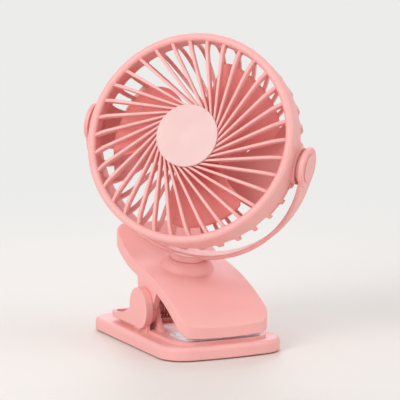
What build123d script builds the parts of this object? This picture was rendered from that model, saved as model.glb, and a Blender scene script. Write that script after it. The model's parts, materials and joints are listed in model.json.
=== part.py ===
"""Clip fan: a caged fan head in a swivelling yoke on a spring clip that also stands on a table.

Millimetres. X runs across the clip, -Y points to the clip's mouth, +Z is up, and the origin lies on the
table under the base. The model stands as photographed: clip shut, yoke turned, head tilted up.
"""

from build123d import *
import os
from math import acos, asin, ceil, cos, degrees, hypot, pi, radians, sin, sqrt, tan

os.makedirs("parts", exist_ok=True)

# ---------------------------------------------------------------- pose in the photograph
swivel_tilt = 12.32        # the swivel axis leans forward from the vertical
swivel_turn = -47.99       # the yoke is turned about the swivel axis
head_tilt = 27.67          # the head looks up from the yoke's own forward direction

# ---------------------------------------------------------------- clearances
joint_gap = 0.3            # between faces that pass each other
running_gap = 0.06         # radial, a shaft in its bore
seat_gap = 0.15            # a fixed piece in its recess
press_gap = 0.02           # radial, a pin or shaft held tight
thrust_gap = 0.12          # axial, between a turning piece and what it bears on
button_gap = 0.25          # round the push button

# ---------------------------------------------------------------- base (lower jaw)
base_width = 88.1
base_front = -68.8
base_back = 68.6
base_corner = 16.0          # at the back
base_nose_corner = 18.8     # at the front
base_bow = 4.0             # how far the front edge bulges out of its corners
flange_top = 9.5
flange_bottom = 0.8
flange_round = 3.0
base_wall = 2.6
pocket_top = 6.9
deck_half_width = 34.0
deck_front = -61.0
deck_back = 38.0
deck_corner = 12.0
deck_top = 11.6
sheet_width = 76.0
sheet_length = 124.0
sheet_thick = 1.0
sheet_corner = 12.0
cover_thick = 2.0
cover_screw_x = 32.0
cover_screw_front = -50.0
cover_screw_back = 52.0
cover_boss_radius = 3.4
tray_wall = 2.5
tray_back = 44.0
tray_front = 8.0
tray_under = 12.6          # lower edge of the tray, above the flange
tray_floor = 14.4
tray_low = 16.8            # rim at the back
tray_dip_y = 22.0
tray_dip = 19.0
tray_high_y = 8.3
tray_high = 25.0
tray_corner = 5.0

# ---------------------------------------------------------------- clip hinge
pivot_y = -3.7
pivot_z = 25.7
ear_radius = 14.0
ear_thick = 5.0
lug_radius = 11.0
lug_thick = 4.0
cheek_radius = 8.6
cheek_thick = 3.0
cheek_foot_front = -28.5
cheek_foot_back = 9.0
cheek_bend_y = -16.4       # middle of the cheek's curved foot
cheek_bend_z = 16.0
ear_foot_thick = 2.4       # set back under the ear
ear_foot_front = 9.0       # how far the ear's foot reaches in front of the hinge
pin_radius = 2.0
pin_blind = 1.8            # plastic left between a pin's end and the ear's outer face
spring_sleeve_radius = 5.6
spring_radius = 7.7        # mean radius of the coil
spring_wire = 0.85         # wire radius
spring_pitch = 2.25
spring_start = 22.4        # |x| of the coil's outer end
spring_lower_slope = 5.8   # how far the lower leg points down
spring_upper_slope = 38.0  # how far the upper leg points up
spring_lower_leg = 26.0
spring_upper_leg = 21.7
spring_half_turns = 7

# ---------------------------------------------------------------- pads
pad_half_width = 28.5
pad_front = -59.0
pad_back = -30.0
pad_thick = 1.4
pad_corner = 6.0
jaw_pad_front = -60.4
jaw_pad_back = -55.0
jaw_pad_half_width = 22.0

# ---------------------------------------------------------------- upper jaw
jaw_half_width = 32.7
jaw_front = -63.7
jaw_back = 51.0
jaw_wall = 2.0
jaw_slab = 7.8             # thickness behind the hinge, square to the top face
jaw_bow = 1.4              # how far the front edge bulges out of its corners
nose_corner = 9.0
tail_corner = 9.0
rim_round = 1.4
saddle_slope = 13.36
nose_slope = 30.0
brow_slope = 58.0          # at the nose's front edge
tail_slope = 41.9
nose_radius = 165.8
brow_radius = 30.0
tail_radius = 68.7
saddle_front = 6.3         # straight run in front of the swivel, along the slope
saddle_back = 15.2         # straight run behind it
apex_y = -22.1             # where the underside of the nose meets the lug
apex_z = 38.2
under_slope = 20.0         # of the underside at that point
under_radius = 128.0       # it bends down to the nose's tip
neck_back = 8.6
neck_top = 50.0
floor_thick = 1.6
floor_lift = 0.5

# ---------------------------------------------------------------- swivel
seam_y = -1.71
seam_z = 57.64
boss_rise = 6.56           # from the jaw's top face up to the swivel's seam
boss_radius = 12.6
boss_shoulder = 15.7       # where the soft mound is roundest
boss_shoulder_drop = 1.7
boss_flank = 17.2
boss_flank_drop = 4.4
boss_foot_radius = 20.0
boss_foot_drop = 7.0
stem_radius = 5.0
stem_reach = 2.6           # how far the stem passes the jaw's top face
washer_radius = 8.6
washer_thick = 1.0
swivel_screw_radius = 1.6
swivel_screw_length = 9.0
swivel_head_radius = 3.6
swivel_head_thick = 1.5

# ---------------------------------------------------------------- yoke
yoke_height = 80.6         # from the seam to the tilt axis
yoke_radius = 79.0
yoke_thick = 3.0
yoke_half_width = 6.6
yoke_leg_half_width = 10.0
yoke_taper_high = -9.0
yoke_taper_low = -42.0
yoke_taper_round = 60.0
yoke_pad_radius = 13.4
yoke_edge_round = 0.9
yoke_hub_radius = 10.8
yoke_foot_radius = 12.6
yoke_foot_thick = 3.8
yoke_foot_round = 1.8
cap_radius = 9.6
cap_rise = 0.9
cap_round = 0.3
cap_plug_radius = 7.6
cap_plug_length = 0.9
cap_seat = 2.5
shoulder_radius = 2.6
pivot_thread_radius = 1.6
pivot_thread_length = 5.6
pivot_pillar_radius = 5.5  # inside the cage, round the pivot's thread
pivot_pillar_end = 66.0
pivot_face = 73.0          # outer face of the cage's pivot boss
pivot_head_radius = 4.4
pivot_head_thick = 1.3
friction_washer_radius = 9.4
friction_washer_thick = 0.9

# ---------------------------------------------------------------- fan head, measured from the tilt axis
ring_inner = 65.6
ring_outer = 71.3
ring_front = 22.5
ring_back = 12.8
ring_round = 2.75
spoke_count = 34
spoke_offset = 17.0        # each spoke's line misses the head's axis by this much
spoke_phase = -0.38        # angle of a spoke where it meets the ring
spoke_inner_width = 1.5
spoke_outer_width = 2.3
spoke_round = 0.55
spoke_start_radius = 19.5
spoke_deep = 5.0
spoke_end_deep = 6.1
spoke_end_radius = 66.6
spoke_hub_front = 24.7
spoke_shoulder_radius = 56.0
spoke_shoulder_front = 24.4
spoke_end_front = 19.6
hub_radius = 20.4
hub_back = 19.8
hub_wall = 2.0
badge_radius = 21.1
badge_thick = 1.4
badge_round = 0.5
badge_stem_radius = 6.0
cage_outer = 71.0
cage_wall = 2.5
cage_corner = 18.0
cage_corner_front = -3.0
cage_rear_drop = 3.6       # how far the rear face bulges back at its hub
cage_hub_radius = 23.0
cage_slot_front = 2.4
cage_slot_round = 2.4
cage_slot_start = 27.0     # radius of the slots' inner ends
cage_slot_bend = 58.0      # from here out the slots also open the side wall
cage_rib_inner = 1.7
cage_rib_outer = 2.7
spigot_outer = 69.3
spigot_inner = 67.9
spigot_front = 15.6
spigot_back = 10.0
land_half_angle = 12.0     # solid stretch of cage wall either side of a pivot
rear_land_half_angle = 28.0  # solid stretch of the rear face either side of a pivot
pivot_boss_radius = 12.4
motor_radius = 12.0
motor_length = 19.0
motor_cup_wall = 2.0
motor_cup_deep = 10.0
motor_screw_ring = 7.5
motor_screw_radius = 1.0
motor_screw_length = 4.5
motor_screw_head = 1.9
motor_screw_head_thick = 1.1
rear_cover_radius = 22.0
rear_cover_rise = 2.6
rear_cover_wall = 1.2
shaft_radius = 1.0
shaft_in_motor = 9.0
rotor_hub_radius = 18.0
rotor_hub_wall = 1.8
rotor_hub_front = 15.6
rotor_hub_back = -5.4
rotor_hub_round = 2.4
rotor_boss_radius = 3.4
rotor_boss_back = 1.0
blade_count = 3
blade_radius = 57.0
blade_thick = 1.7
blade_span = 68.0          # angle that a blade covers at its tip
blade_phase = 54.0
blade_middle = 3.6         # height of the blades' middle line on the axis
blade_tip_pitch = 12.0
blade_root_pitch = 30.0
blade_root_radius = 16.9
blade_root_span = 92.0
blade_waist_radius = 38.0
blade_front_waist = 31.0   # angle of the front edge at the waist
blade_back_waist = 44.0    # angle of the back edge at the waist
blade_tip_corner = 11.0

# ---------------------------------------------------------------- electrics in the base
battery_width = 52.0
battery_length = 66.0
battery_thick = 3.4
battery_y = 2.0
board_half_width = 20.0
board_front = 62.6
board_back = 63.8
board_high = 6.7
port_width = 9.0
port_height = 3.2
port_wall = 0.5
port_inset = 0.2           # of the port's mouth from the base's back face
button_x = 13.0
button_width = 8.0
button_height = 2.4
button_rim = 0.5           # flange round the button inside the wall
button_rim_thick = 0.7
button_proud = 0.7         # how far the button stands out of the back face
button_travel = 0.5
switch_width = 2.4
lens_x = -13.0
lens_radius = 1.0
panel_z = 4.8              # height of the port, button and lens on the base's back face

# ---------------------------------------------------------------- small screws
screw_radius = 1.3
screw_head_radius = 2.4
screw_head_thick = 1.2
floor_screw_front = -36.0
floor_screw_front_x = 24.0
floor_screw_back = 34.0
floor_screw_back_x = 26.0
floor_boss_radius = 2.6
floor_post_length = 3.7
floor_hole_depth = 2.8     # in the post
floor_screw_length = 4.3   # thread and the part of it inside the floor

# ---------------------------------------------------------------- planes
swivel_dir = Vector(0, 0, 1).rotate(Axis.X, swivel_tilt)
seam_point = Vector(0, seam_y, seam_z)
pivot_dir = Vector(1, 0, 0).rotate(Axis((0, 0, 0), swivel_dir), swivel_turn)
head_point = seam_point + swivel_dir * yoke_height
yoke_forward = pivot_dir.cross(swivel_dir)
head_dir = yoke_forward.rotate(Axis((0, 0, 0), pivot_dir), -head_tilt)

swivel = Plane(origin=seam_point, x_dir=pivot_dir, z_dir=swivel_dir)
yoke = Plane(origin=head_point, x_dir=pivot_dir, z_dir=yoke_forward)
head = Plane(origin=head_point, x_dir=pivot_dir, z_dir=head_dir)

ear_inner = jaw_half_width + joint_gap
ear_outer = ear_inner + ear_thick
lug_inner = jaw_half_width - lug_thick
cheek_outer = lug_inner - joint_gap
cheek_inner = cheek_outer - cheek_thick
base_middle = (base_front + base_back) / 2
pad_top = deck_top + pad_thick
spoke_pitch = 360 / spoke_count


def save(piece, name, place=Plane.XY):
    """Put a finished piece in its place, label it and write it under its name."""
    piece.part = place.location * piece.part
    piece.part.label = name
    export_step(piece.part, f"parts/{name}.step")


def polar(radius, angle):
    """Point in the plane at a radius and an angle in degrees."""
    return Vector(radius * cos(radians(angle)), radius * sin(radians(angle)))


# ---------------------------------------------------------------- the jaw's long curve, in (Y, Z)
def saddle_point(depth):
    """Point of the jaw's top face under the swivel's seam, sunk square to the face."""
    slope = radians(saddle_slope)
    return Vector(seam_y + depth * sin(slope), seam_z - boss_rise - depth * cos(slope))


def along(angle):
    """Unit vector in the side view that climbs to the back at the given angle."""
    return Vector(cos(radians(angle)), sin(radians(angle)))


def rear_rail(depth):
    """Draw the straight saddle and hollow tail at a depth below the top face; return both ends."""
    start = saddle_point(depth) - along(saddle_slope) * saddle_front
    run = Line(start, start + along(saddle_slope) * (saddle_front + saddle_back))
    tail = JernArc(run @ 1, run % 1, tail_radius + depth, tail_slope - saddle_slope)
    end = Line(tail @ 1, tail @ 1 + (tail % 1) * 20)
    return run @ 0, end @ 1


def front_rail(depth):
    """Draw the domed nose at a depth below the top face; return its far end."""
    start = saddle_point(depth) - along(saddle_slope) * saddle_front
    nose = JernArc(start, along(saddle_slope) * -1, nose_radius - depth, nose_slope - saddle_slope)
    brow = JernArc(nose @ 1, nose % 1, brow_radius - depth, brow_slope - nose_slope)
    end = Line(brow @ 1, brow @ 1 + (brow % 1) * 8)
    return end @ 1


def under_rail(lift):
    """Draw the jaw's lower outline, raised by a lift; return both ends."""
    start, end = rear_rail(jaw_slab - lift * cos(radians(saddle_slope)))
    apex = Vector(apex_y, apex_z + lift)
    Line(start, apex)
    under_turn = degrees(asin((apex_y - jaw_front) / under_radius))
    bend = JernArc(apex, along(under_slope) * -1, under_radius, under_turn)
    tip = Line(bend @ 1, bend @ 1 + (bend % 1) * 8)
    return tip @ 1, end


def plan_outline(half_width, front, back, bow, front_corner, back_corner):
    """Outline seen from above: straight sides and back, a bowed front, rounded corners."""
    with BuildSketch() as plan:
        with BuildLine():
            ThreePointArc((-half_width, front + bow), (0, front), (half_width, front + bow))
            Polyline(
                (half_width, front + bow), (half_width, back), (-half_width, back), (-half_width, front + bow)
            )
        make_face()
        corners = plan.vertices().group_by(Axis.Y)
        fillet(corners[0], front_corner)
        fillet(plan.vertices().group_by(Axis.Y)[-1], back_corner)
    return plan.sketch


def jaw_plan(inset):
    """The jaw's outline seen from above, drawn in by an inset."""
    return plan_outline(
        jaw_half_width - inset,
        jaw_front + inset,
        jaw_back - inset,
        jaw_bow,
        nose_corner - inset,
        tail_corner - inset,
    )


def base_plan(inset):
    """The base's outline seen from above, drawn in by an inset."""
    return plan_outline(
        base_width / 2 - inset, base_front + inset, base_back - inset, base_bow,
        base_nose_corner - inset, base_corner - inset,
    )


def surface(x, y, depth):
    """Plane on the jaw's top face at (x, y), sunk by a depth, with its Z axis square to the face."""
    slope = radians(saddle_slope)
    low = saddle_point(0) - along(saddle_slope) * saddle_front
    high = saddle_point(0) + along(saddle_slope) * saddle_back
    angle = slope
    z = low.Y + (y - low.X) * tan(slope)
    if y < low.X:
        angle = asin(sin(slope) + (low.X - y) / nose_radius)
        z = low.Y - nose_radius * (cos(slope) - cos(angle))
    if y > high.X:
        angle = asin(sin(slope) + (y - high.X) / tail_radius)
        z = high.Y + tail_radius * (cos(slope) - cos(angle))
    normal = Vector(0, -sin(angle), cos(angle))
    return Plane(origin=Vector(x, y, z) - normal * depth, x_dir=(1, 0, 0), z_dir=normal)


def under_plane(x, y, lift):
    """Plane on the jaw's underside at (x, y), raised by a lift, with its Z axis square to it."""
    if y > apex_y:
        return surface(x, y, jaw_slab - lift * cos(radians(saddle_slope)))
    slope = asin(sin(radians(under_slope)) + (apex_y - y) / under_radius)
    normal = Vector(0, -sin(slope), cos(slope))
    foot = Vector(x, y, under_height(y))
    return Plane(origin=foot + normal * lift * cos(slope), x_dir=(1, 0, 0), z_dir=normal)


def under_height(y):
    """Height of the nose's underside at y."""
    slope = asin(sin(radians(under_slope)) + (apex_y - y) / under_radius)
    return apex_z - under_radius * (cos(radians(under_slope)) - cos(slope))


def rim_edges(faces):
    """Edges that belong to just one of the given faces: the outer rim of a patch of faces."""
    edges = [edge for face in faces for edge in face.edges()]
    return ShapeList([edge for edge in edges if sum(edge.is_same(other) for other in edges) == 1])


# ================================================================ base: lower jaw
# tray behind the ears: a rounded wall in plan, cut down to its sloping rim seen from the side
with BuildPart() as tray:
    with BuildSketch(Plane.XY.offset(tray_under)):
        with Locations((0, tray_back)):
            RectangleRounded(
                2 * ear_outer, 2 * (tray_back - pivot_y), tray_corner, align=(Align.CENTER, Align.MAX)
            )
    extrude(amount=pivot_z - tray_under)
    with BuildSketch(Plane.XY.offset(tray_floor)):
        with Locations((0, tray_back - tray_wall)):
            RectangleRounded(
                2 * (ear_outer - tray_wall),
                2 * (tray_back - tray_wall - pivot_y),
                tray_corner - tray_wall / 2,
                align=(Align.CENTER, Align.MAX),
            )
    extrude(amount=pivot_z, mode=Mode.SUBTRACT)
    with BuildSketch(Plane.YZ):
        with BuildLine():
            rim = ThreePointArc((tray_back, tray_low), (tray_dip_y, tray_dip), (tray_high_y, tray_high))
            Polyline(rim @ 1, (tray_front, tray_high), (tray_front, 0), (tray_back, 0), rim @ 0)
        make_face()
    extrude(amount=ear_outer, both=True, mode=Mode.INTERSECT)

sleeve_end = spring_start - spring_pitch * spring_half_turns / 2 - spring_wire
cover_top = sheet_thick + cover_thick
cover_screw_spots = [
    (side * cover_screw_x, y) for side in (-1, 1) for y in (cover_screw_front, cover_screw_back)
]
with BuildPart() as base_shell:
    extrude(Pos(0, 0, flange_bottom) * base_plan(0), amount=flange_top - flange_bottom)
    fillet(base_shell.faces().sort_by(Axis.Z)[-1].edges(), flange_round)
    fillet(base_shell.faces().sort_by(Axis.Z)[0].edges(), flange_round / 3)
    # the deck under the jaw, one step above the flange, reaches back under the tray
    with BuildSketch(Plane.XY.offset(pocket_top)):
        with Locations((0, (deck_front + deck_back) / 2)):
            RectangleRounded(2 * deck_half_width, deck_back - deck_front, deck_corner)
    extrude(amount=deck_top - pocket_top)
    with BuildSketch(Plane.XY.offset(pocket_top)):
        with Locations((0, (tray_front + deck_back) / 2)):
            RectangleRounded(2 * deck_half_width, deck_back - tray_front, tray_corner)
    extrude(amount=tray_floor - pocket_top - 0.5)
    add(tray.part)
    for side in (-1, 1):
        # ear, and its foot set back underneath
        with BuildSketch(Plane.YZ.offset(side * ear_inner)):
            with Locations((pivot_y, pivot_z)):
                Circle(ear_radius)
            with BuildLine():
                Polyline(
                    (pivot_y, tray_under), (tray_front + 1, tray_under), (tray_front + 1, tray_high),
                    (pivot_y, pivot_z), close=True,
                )
            make_face()
        extrude(amount=side * ear_thick)
        with BuildSketch(Plane.YZ.offset(side * ear_inner)):
            with BuildLine():
                Polyline(
                    (pivot_y - ear_foot_front, pocket_top), (tray_front + 1, pocket_top),
                    (tray_front + 1, tray_floor), (pivot_y, pivot_z), (pivot_y - ear_foot_front, tray_floor),
                    close=True,
                )
            make_face()
        extrude(amount=side * ear_foot_thick)
        # inner cheek with its curved foot, and the sleeve that carries the spring
        with BuildSketch(Plane.YZ.offset(side * cheek_inner)):
            with Locations((pivot_y, pivot_z)):
                Circle(cheek_radius)
            with BuildLine():
                ramp = ThreePointArc(
                    (pivot_y - cheek_radius, pivot_z),
                    (cheek_bend_y, cheek_bend_z),
                    (cheek_foot_front, deck_top - 1),
                )
                cheek_top = (pivot_y + cheek_radius, pivot_z)
                Polyline(ramp @ 1, (cheek_foot_back, deck_top - 1), cheek_top, ramp @ 0)
            make_face()
        extrude(amount=side * cheek_thick)
        with BuildSketch(Plane.YZ.offset(side * sleeve_end)):
            with Locations((pivot_y, pivot_z)):
                Circle(spring_sleeve_radius)
        extrude(amount=side * (cheek_inner - sleeve_end))
        with BuildSketch(Plane.YZ.offset(side * sleeve_end)):
            with Locations((pivot_y, pivot_z)):
                Circle(pin_radius + press_gap)
        extrude(amount=side * (ear_outer - pin_blind - sleeve_end), mode=Mode.SUBTRACT)
    # hollow underneath, with four bosses for the cover's screws
    pocket_plan = Pos(0, 0, flange_bottom) * base_plan(base_wall)
    extrude(pocket_plan, amount=pocket_top - flange_bottom, mode=Mode.SUBTRACT)
    with BuildSketch(Plane.XY.offset(cover_top)):
        with Locations(*cover_screw_spots):
            Circle(cover_boss_radius)
    extrude(amount=pocket_top - cover_top)
    with BuildSketch(Plane.XY.offset(cover_top)):
        with Locations(*cover_screw_spots):
            Circle(screw_radius)
    extrude(amount=pocket_top - cover_top - 0.5, mode=Mode.SUBTRACT)
    # port, button and lens openings in the back face
    with BuildSketch(Plane.XZ.offset(-base_back)):
        with Locations((0, panel_z)):
            SlotOverall(port_width + 2 * seat_gap, port_height + 2 * seat_gap)
        with Locations((button_x, panel_z)):
            SlotOverall(button_width + 2 * button_gap, button_height + 2 * button_gap)
        with Locations((lens_x, panel_z)):
            Circle(lens_radius + press_gap)
    extrude(amount=base_wall + 1, mode=Mode.SUBTRACT)
save(base_shell, "base_shell")

with BuildPart() as base_cover:
    extrude(Pos(0, 0, sheet_thick) * base_plan(base_wall + seat_gap), amount=cover_thick)
    with BuildSketch(Plane.XY.offset(sheet_thick)):
        with Locations(*cover_screw_spots):
            Circle(screw_radius + running_gap)
    extrude(amount=cover_thick, mode=Mode.SUBTRACT)
    with BuildSketch(Plane.XY.offset(sheet_thick)):
        with Locations(*cover_screw_spots):
            Circle(screw_head_radius + seat_gap)
    extrude(amount=screw_head_thick, mode=Mode.SUBTRACT)
save(base_cover, "base_cover")

with BuildPart() as base_screws:
    with BuildSketch(Plane.XY.offset(sheet_thick)):
        with Locations(*cover_screw_spots):
            Circle(screw_head_radius)
    extrude(amount=screw_head_thick)
    with BuildSketch(Plane.XY.offset(sheet_thick + screw_head_thick)):
        with Locations(*cover_screw_spots):
            Circle(screw_radius)
    extrude(amount=pocket_top - sheet_thick - screw_head_thick - 1)
save(base_screws, "base_screws")

with BuildPart() as grip_sheet:
    with BuildSketch():
        with Locations((0, base_middle)):
            RectangleRounded(sheet_width, sheet_length, sheet_corner)
        with Locations(*cover_screw_spots):
            Circle(screw_head_radius + 1, mode=Mode.SUBTRACT)
    extrude(amount=sheet_thick)
save(grip_sheet, "grip_sheet")

with BuildPart() as base_pad:
    with BuildSketch(Plane.XY.offset(deck_top)):
        with Locations((0, (pad_front + pad_back) / 2)):
            RectangleRounded(2 * pad_half_width, pad_back - pad_front, pad_corner)
    extrude(amount=pad_thick)
    fillet(base_pad.faces().sort_by(Axis.Z)[-1].edges(), pad_thick / 3)
save(base_pad, "base_pad")

with BuildPart() as hinge_pins:
    for side in (-1, 1):
        with BuildSketch(Plane.YZ.offset(side * (ear_outer - pin_blind - seat_gap))):
            with Locations((pivot_y, pivot_z)):
                Circle(pin_radius)
        extrude(amount=-side * (ear_outer - pin_blind - seat_gap - sleeve_end))
save(hinge_pins, "hinge_pins")


def spring_points(side):
    """Ends of the spring's half turns with the crown between each pair, from lower to upper leg."""
    first = -90 - spring_lower_slope
    last = 90 + spring_upper_slope - 360 * ceil(spring_half_turns / 2)
    step = (last - first) / spring_half_turns
    points = []
    for half in range(2 * spring_half_turns + 1):
        angle = radians(first + step * half / 2)
        x = side * (spring_start - spring_pitch * half / 4)
        points.append(Vector(x, pivot_y + spring_radius * cos(angle), pivot_z + spring_radius * sin(angle)))
    return points


def turn_gap(path):
    """Least gap between the surfaces of stretches of a spring that lie half a turn or more apart."""
    steps = 300
    spots = [path @ (step / steps) for step in range(steps + 1)]
    skip = int(pi * spring_radius * steps / path.length)
    nearest = min(
        (spots[low] - spots[high]).length for low in range(steps + 1) for high in range(low + skip, steps + 1)
    )
    return nearest - 2 * spring_wire


with BuildPart() as torsion_springs:
    for side in (-1, 1):
        turns = spring_points(side)
        lower_dir = Vector(0, cos(radians(spring_lower_slope)), -sin(radians(spring_lower_slope)))
        upper_dir = Vector(0, cos(radians(spring_upper_slope)), sin(radians(spring_upper_slope)))
        with BuildLine() as wire:
            Line(turns[0] + lower_dir * spring_lower_leg, turns[0])
            for half in range(spring_half_turns):
                ThreePointArc(*turns[2 * half:2 * half + 3])
            Line(turns[-1], turns[-1] + upper_dir * spring_upper_leg)
        with BuildSketch(Plane(origin=turns[0] + lower_dir * spring_lower_leg, z_dir=lower_dir * -1)):
            Circle(spring_wire)
        sweep(path=wire.wires()[0])
        print(f"spring: least gap between its turns {turn_gap(wire.wires()[0]):.2f} mm")
save(torsion_springs, "torsion_springs")

with BuildPart() as battery:
    with BuildSketch(Plane.XY.offset(cover_top)):
        with Locations((0, battery_y)):
            RectangleRounded(battery_width, battery_length, 2.5)
    extrude(amount=battery_thick)
    fillet(battery.faces().filter_by(Axis.Z).edges(), battery_thick / 4)
save(battery, "battery")

button_inner = base_back - base_wall - thrust_gap    # inner side of the button's wide rim
with BuildPart() as control_board:
    with BuildSketch(Plane.XZ.offset(-board_front)):
        with Locations((0, (cover_top + board_high) / 2)):
            Rectangle(2 * board_half_width, board_high - cover_top)
    extrude(amount=board_front - board_back)
    with BuildSketch(Plane.XZ.offset(-board_back)):
        with Locations((button_x, panel_z)):
            Rectangle(switch_width, switch_width)
    extrude(amount=board_back - button_inner + button_rim_thick + button_travel + thrust_gap)
save(control_board, "control_board")

with BuildPart() as usb_port:
    with BuildSketch(Plane.XZ.offset(-board_back)):
        with Locations((0, panel_z)):
            SlotOverall(port_width, port_height)
    extrude(amount=board_back - base_back + port_inset)
    with BuildSketch(Plane.XZ.offset(-board_back - port_wall)):
        with Locations((0, panel_z)):
            SlotOverall(port_width - 2 * port_wall, port_height - 2 * port_wall)
            Rectangle(port_width / 2, port_wall * 1.4, mode=Mode.SUBTRACT)
    extrude(amount=board_back - base_back + port_inset, mode=Mode.SUBTRACT)
save(usb_port, "usb_port")

with BuildPart() as indicator_lens:
    with BuildSketch(Plane.XZ.offset(-board_back)):
        with Locations((lens_x, panel_z)):
            Circle(lens_radius)
    extrude(amount=board_back - base_back - 0.2)
save(indicator_lens, "indicator_lens")

with BuildPart() as power_button:
    with BuildSketch(Plane.XZ.offset(-button_inner)):
        with Locations((button_x, panel_z)):
            SlotOverall(button_width + 2 * button_rim, button_height + 2 * button_rim)
    extrude(amount=button_rim_thick)
    with BuildSketch(Plane.XZ.offset(-button_inner)):
        with Locations((button_x, panel_z)):
            SlotOverall(button_width, button_height)
    extrude(amount=button_inner - base_back - button_proud)
    fillet(power_button.faces().sort_by(Axis.Y)[-1].edges(), 0.3)
save(power_button, "power_button")

# ================================================================ upper jaw
stem_end = boss_rise + stem_reach                    # below the seam
washer_end = stem_end + washer_thick

with BuildPart() as jaw_hollow:
    extrude(jaw_plan(jaw_wall), amount=seam_z + 40)
    with BuildSketch(Plane.YZ):
        with BuildLine():
            nose_end = front_rail(jaw_wall)
            _, tail_end = rear_rail(jaw_wall)
            Polyline(nose_end, (nose_end.X, 0), (tail_end.X, 0), tail_end)
        make_face()
    extrude(amount=jaw_half_width, both=True, mode=Mode.INTERSECT)

# the swivel's soft mound on the saddle, about its own Z axis
with BuildPart() as mound:
    with BuildSketch(Plane.XZ):
        with BuildLine():
            shoulder = ThreePointArc(
                (boss_radius, 0), (boss_shoulder, -boss_shoulder_drop), (boss_flank, -boss_flank_drop)
            )
            skirt = TangentArc(shoulder @ 1, (boss_foot_radius, -boss_foot_drop), tangent=shoulder % 1)
            Polyline(skirt @ 1, (0, -boss_foot_drop), (0, 0), shoulder @ 0)
        make_face()
    revolve(axis=Axis.Z)

with BuildPart() as swivel_core:
    with BuildSketch(swivel.offset(-stem_end + thrust_gap)):
        Circle(washer_radius + 1)
    extrude(amount=stem_end - boss_rise + 1)

floor_screw_spots = [
    (side * x, y)
    for side in (-1, 1)
    for x, y in ((floor_screw_front_x, floor_screw_front), (floor_screw_back_x, floor_screw_back))
]

with BuildPart() as jaw_shell:
    extrude(jaw_plan(0), amount=seam_z + 40)
    with BuildSketch(Plane.YZ):
        with BuildLine():
            nose_end = front_rail(0)
            _, tail_end = rear_rail(0)
            under_tip, under_end = under_rail(0)
            Line(nose_end, under_tip)
            Line(tail_end, under_end)
        make_face()
    extrude(amount=jaw_half_width, both=True, mode=Mode.INTERSECT)
    top_faces = jaw_shell.faces().filter_by(lambda face: face.normal_at().Z > 0.5)
    fillet(rim_edges(top_faces), rim_round)
    add(swivel.location * mound.part)
    add(jaw_hollow.part, mode=Mode.SUBTRACT)
    add(swivel_core.part)
    with BuildSketch(swivel):
        Circle(stem_radius + running_gap)
    extrude(amount=-stem_end - 5, mode=Mode.SUBTRACT)
    # lugs that hang from the side walls to the hinge
    for side in (-1, 1):
        with BuildSketch(Plane.YZ.offset(side * lug_inner)):
            with Locations((pivot_y, pivot_z)):
                Circle(lug_radius)
            with BuildLine():
                Polyline(
                    (pivot_y - lug_radius, pivot_z),
                    (apex_y, apex_z),
                    (apex_y, apex_z + 5),
                    (neck_back, neck_top),
                    (neck_back, apex_z + 3),
                    (pivot_y + lug_radius, pivot_z),
                    close=True,
                )
            make_face()
            with Locations((pivot_y, pivot_z)):
                Circle(pin_radius + running_gap, mode=Mode.SUBTRACT)
        extrude(amount=side * lug_thick)
    # posts for the floor's screws
    floor_top = floor_lift + floor_thick + seat_gap
    with BuildSketch(*[under_plane(x, y, floor_top) for x, y in floor_screw_spots]):
        Circle(floor_boss_radius)
    extrude(amount=floor_post_length)
    with BuildSketch(*[under_plane(x, y, floor_top) for x, y in floor_screw_spots]):
        Circle(screw_radius)
    extrude(amount=floor_hole_depth, mode=Mode.SUBTRACT)
save(jaw_shell, "jaw_shell")

with BuildPart() as jaw_floor:
    extrude(jaw_plan(jaw_wall + seat_gap), amount=seam_z + 40)
    with BuildSketch(Plane.YZ):
        with BuildLine():
            low_tip, low_end = under_rail(floor_lift)
            high_tip, high_end = under_rail(floor_lift + floor_thick)
            Line(low_tip, high_tip)
            Line(low_end, high_end)
        make_face()
    extrude(amount=jaw_half_width, both=True, mode=Mode.INTERSECT)
    # notches round the lugs
    for side in (-1, 1):
        with BuildSketch(Plane.YZ.offset(side * (lug_inner - seat_gap))):
            with Locations(((apex_y + neck_back) / 2, seam_z - 20)):
                Rectangle(neck_back - apex_y + 2 * seat_gap, 60)
        extrude(amount=side * 2 * lug_thick, mode=Mode.SUBTRACT)
    with BuildSketch(*[under_plane(x, y, floor_lift) for x, y in floor_screw_spots]):
        Circle(screw_radius + running_gap)
    extrude(amount=floor_thick * 2, both=True, mode=Mode.SUBTRACT)
    with BuildSketch(*[under_plane(x, y, floor_lift) for x, y in floor_screw_spots]):
        Circle(screw_head_radius + seat_gap)
    extrude(amount=screw_head_thick, mode=Mode.SUBTRACT)
save(jaw_floor, "jaw_floor")

with BuildPart() as floor_screws:
    with BuildSketch(*[under_plane(x, y, floor_lift) for x, y in floor_screw_spots]):
        Circle(screw_head_radius)
    extrude(amount=screw_head_thick)
    with BuildSketch(*[under_plane(x, y, floor_lift) for x, y in floor_screw_spots]):
        Circle(screw_radius)
    extrude(amount=floor_screw_length)
save(floor_screws, "floor_screws")

with BuildPart() as jaw_pad:
    with BuildSketch(Plane.YZ):
        with BuildLine():
            Polyline(
                (jaw_pad_front, pad_top + joint_gap),
                (jaw_pad_back, pad_top + joint_gap),
                (jaw_pad_back, under_height(jaw_pad_back) + floor_lift),
                (jaw_pad_front, under_height(jaw_pad_front) + floor_lift),
                close=True,
            )
        make_face()
    extrude(amount=jaw_pad_half_width, both=True)
save(jaw_pad, "jaw_pad")

# ================================================================ swivel and yoke
hub_face = pivot_face + friction_washer_thick + thrust_gap

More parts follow.
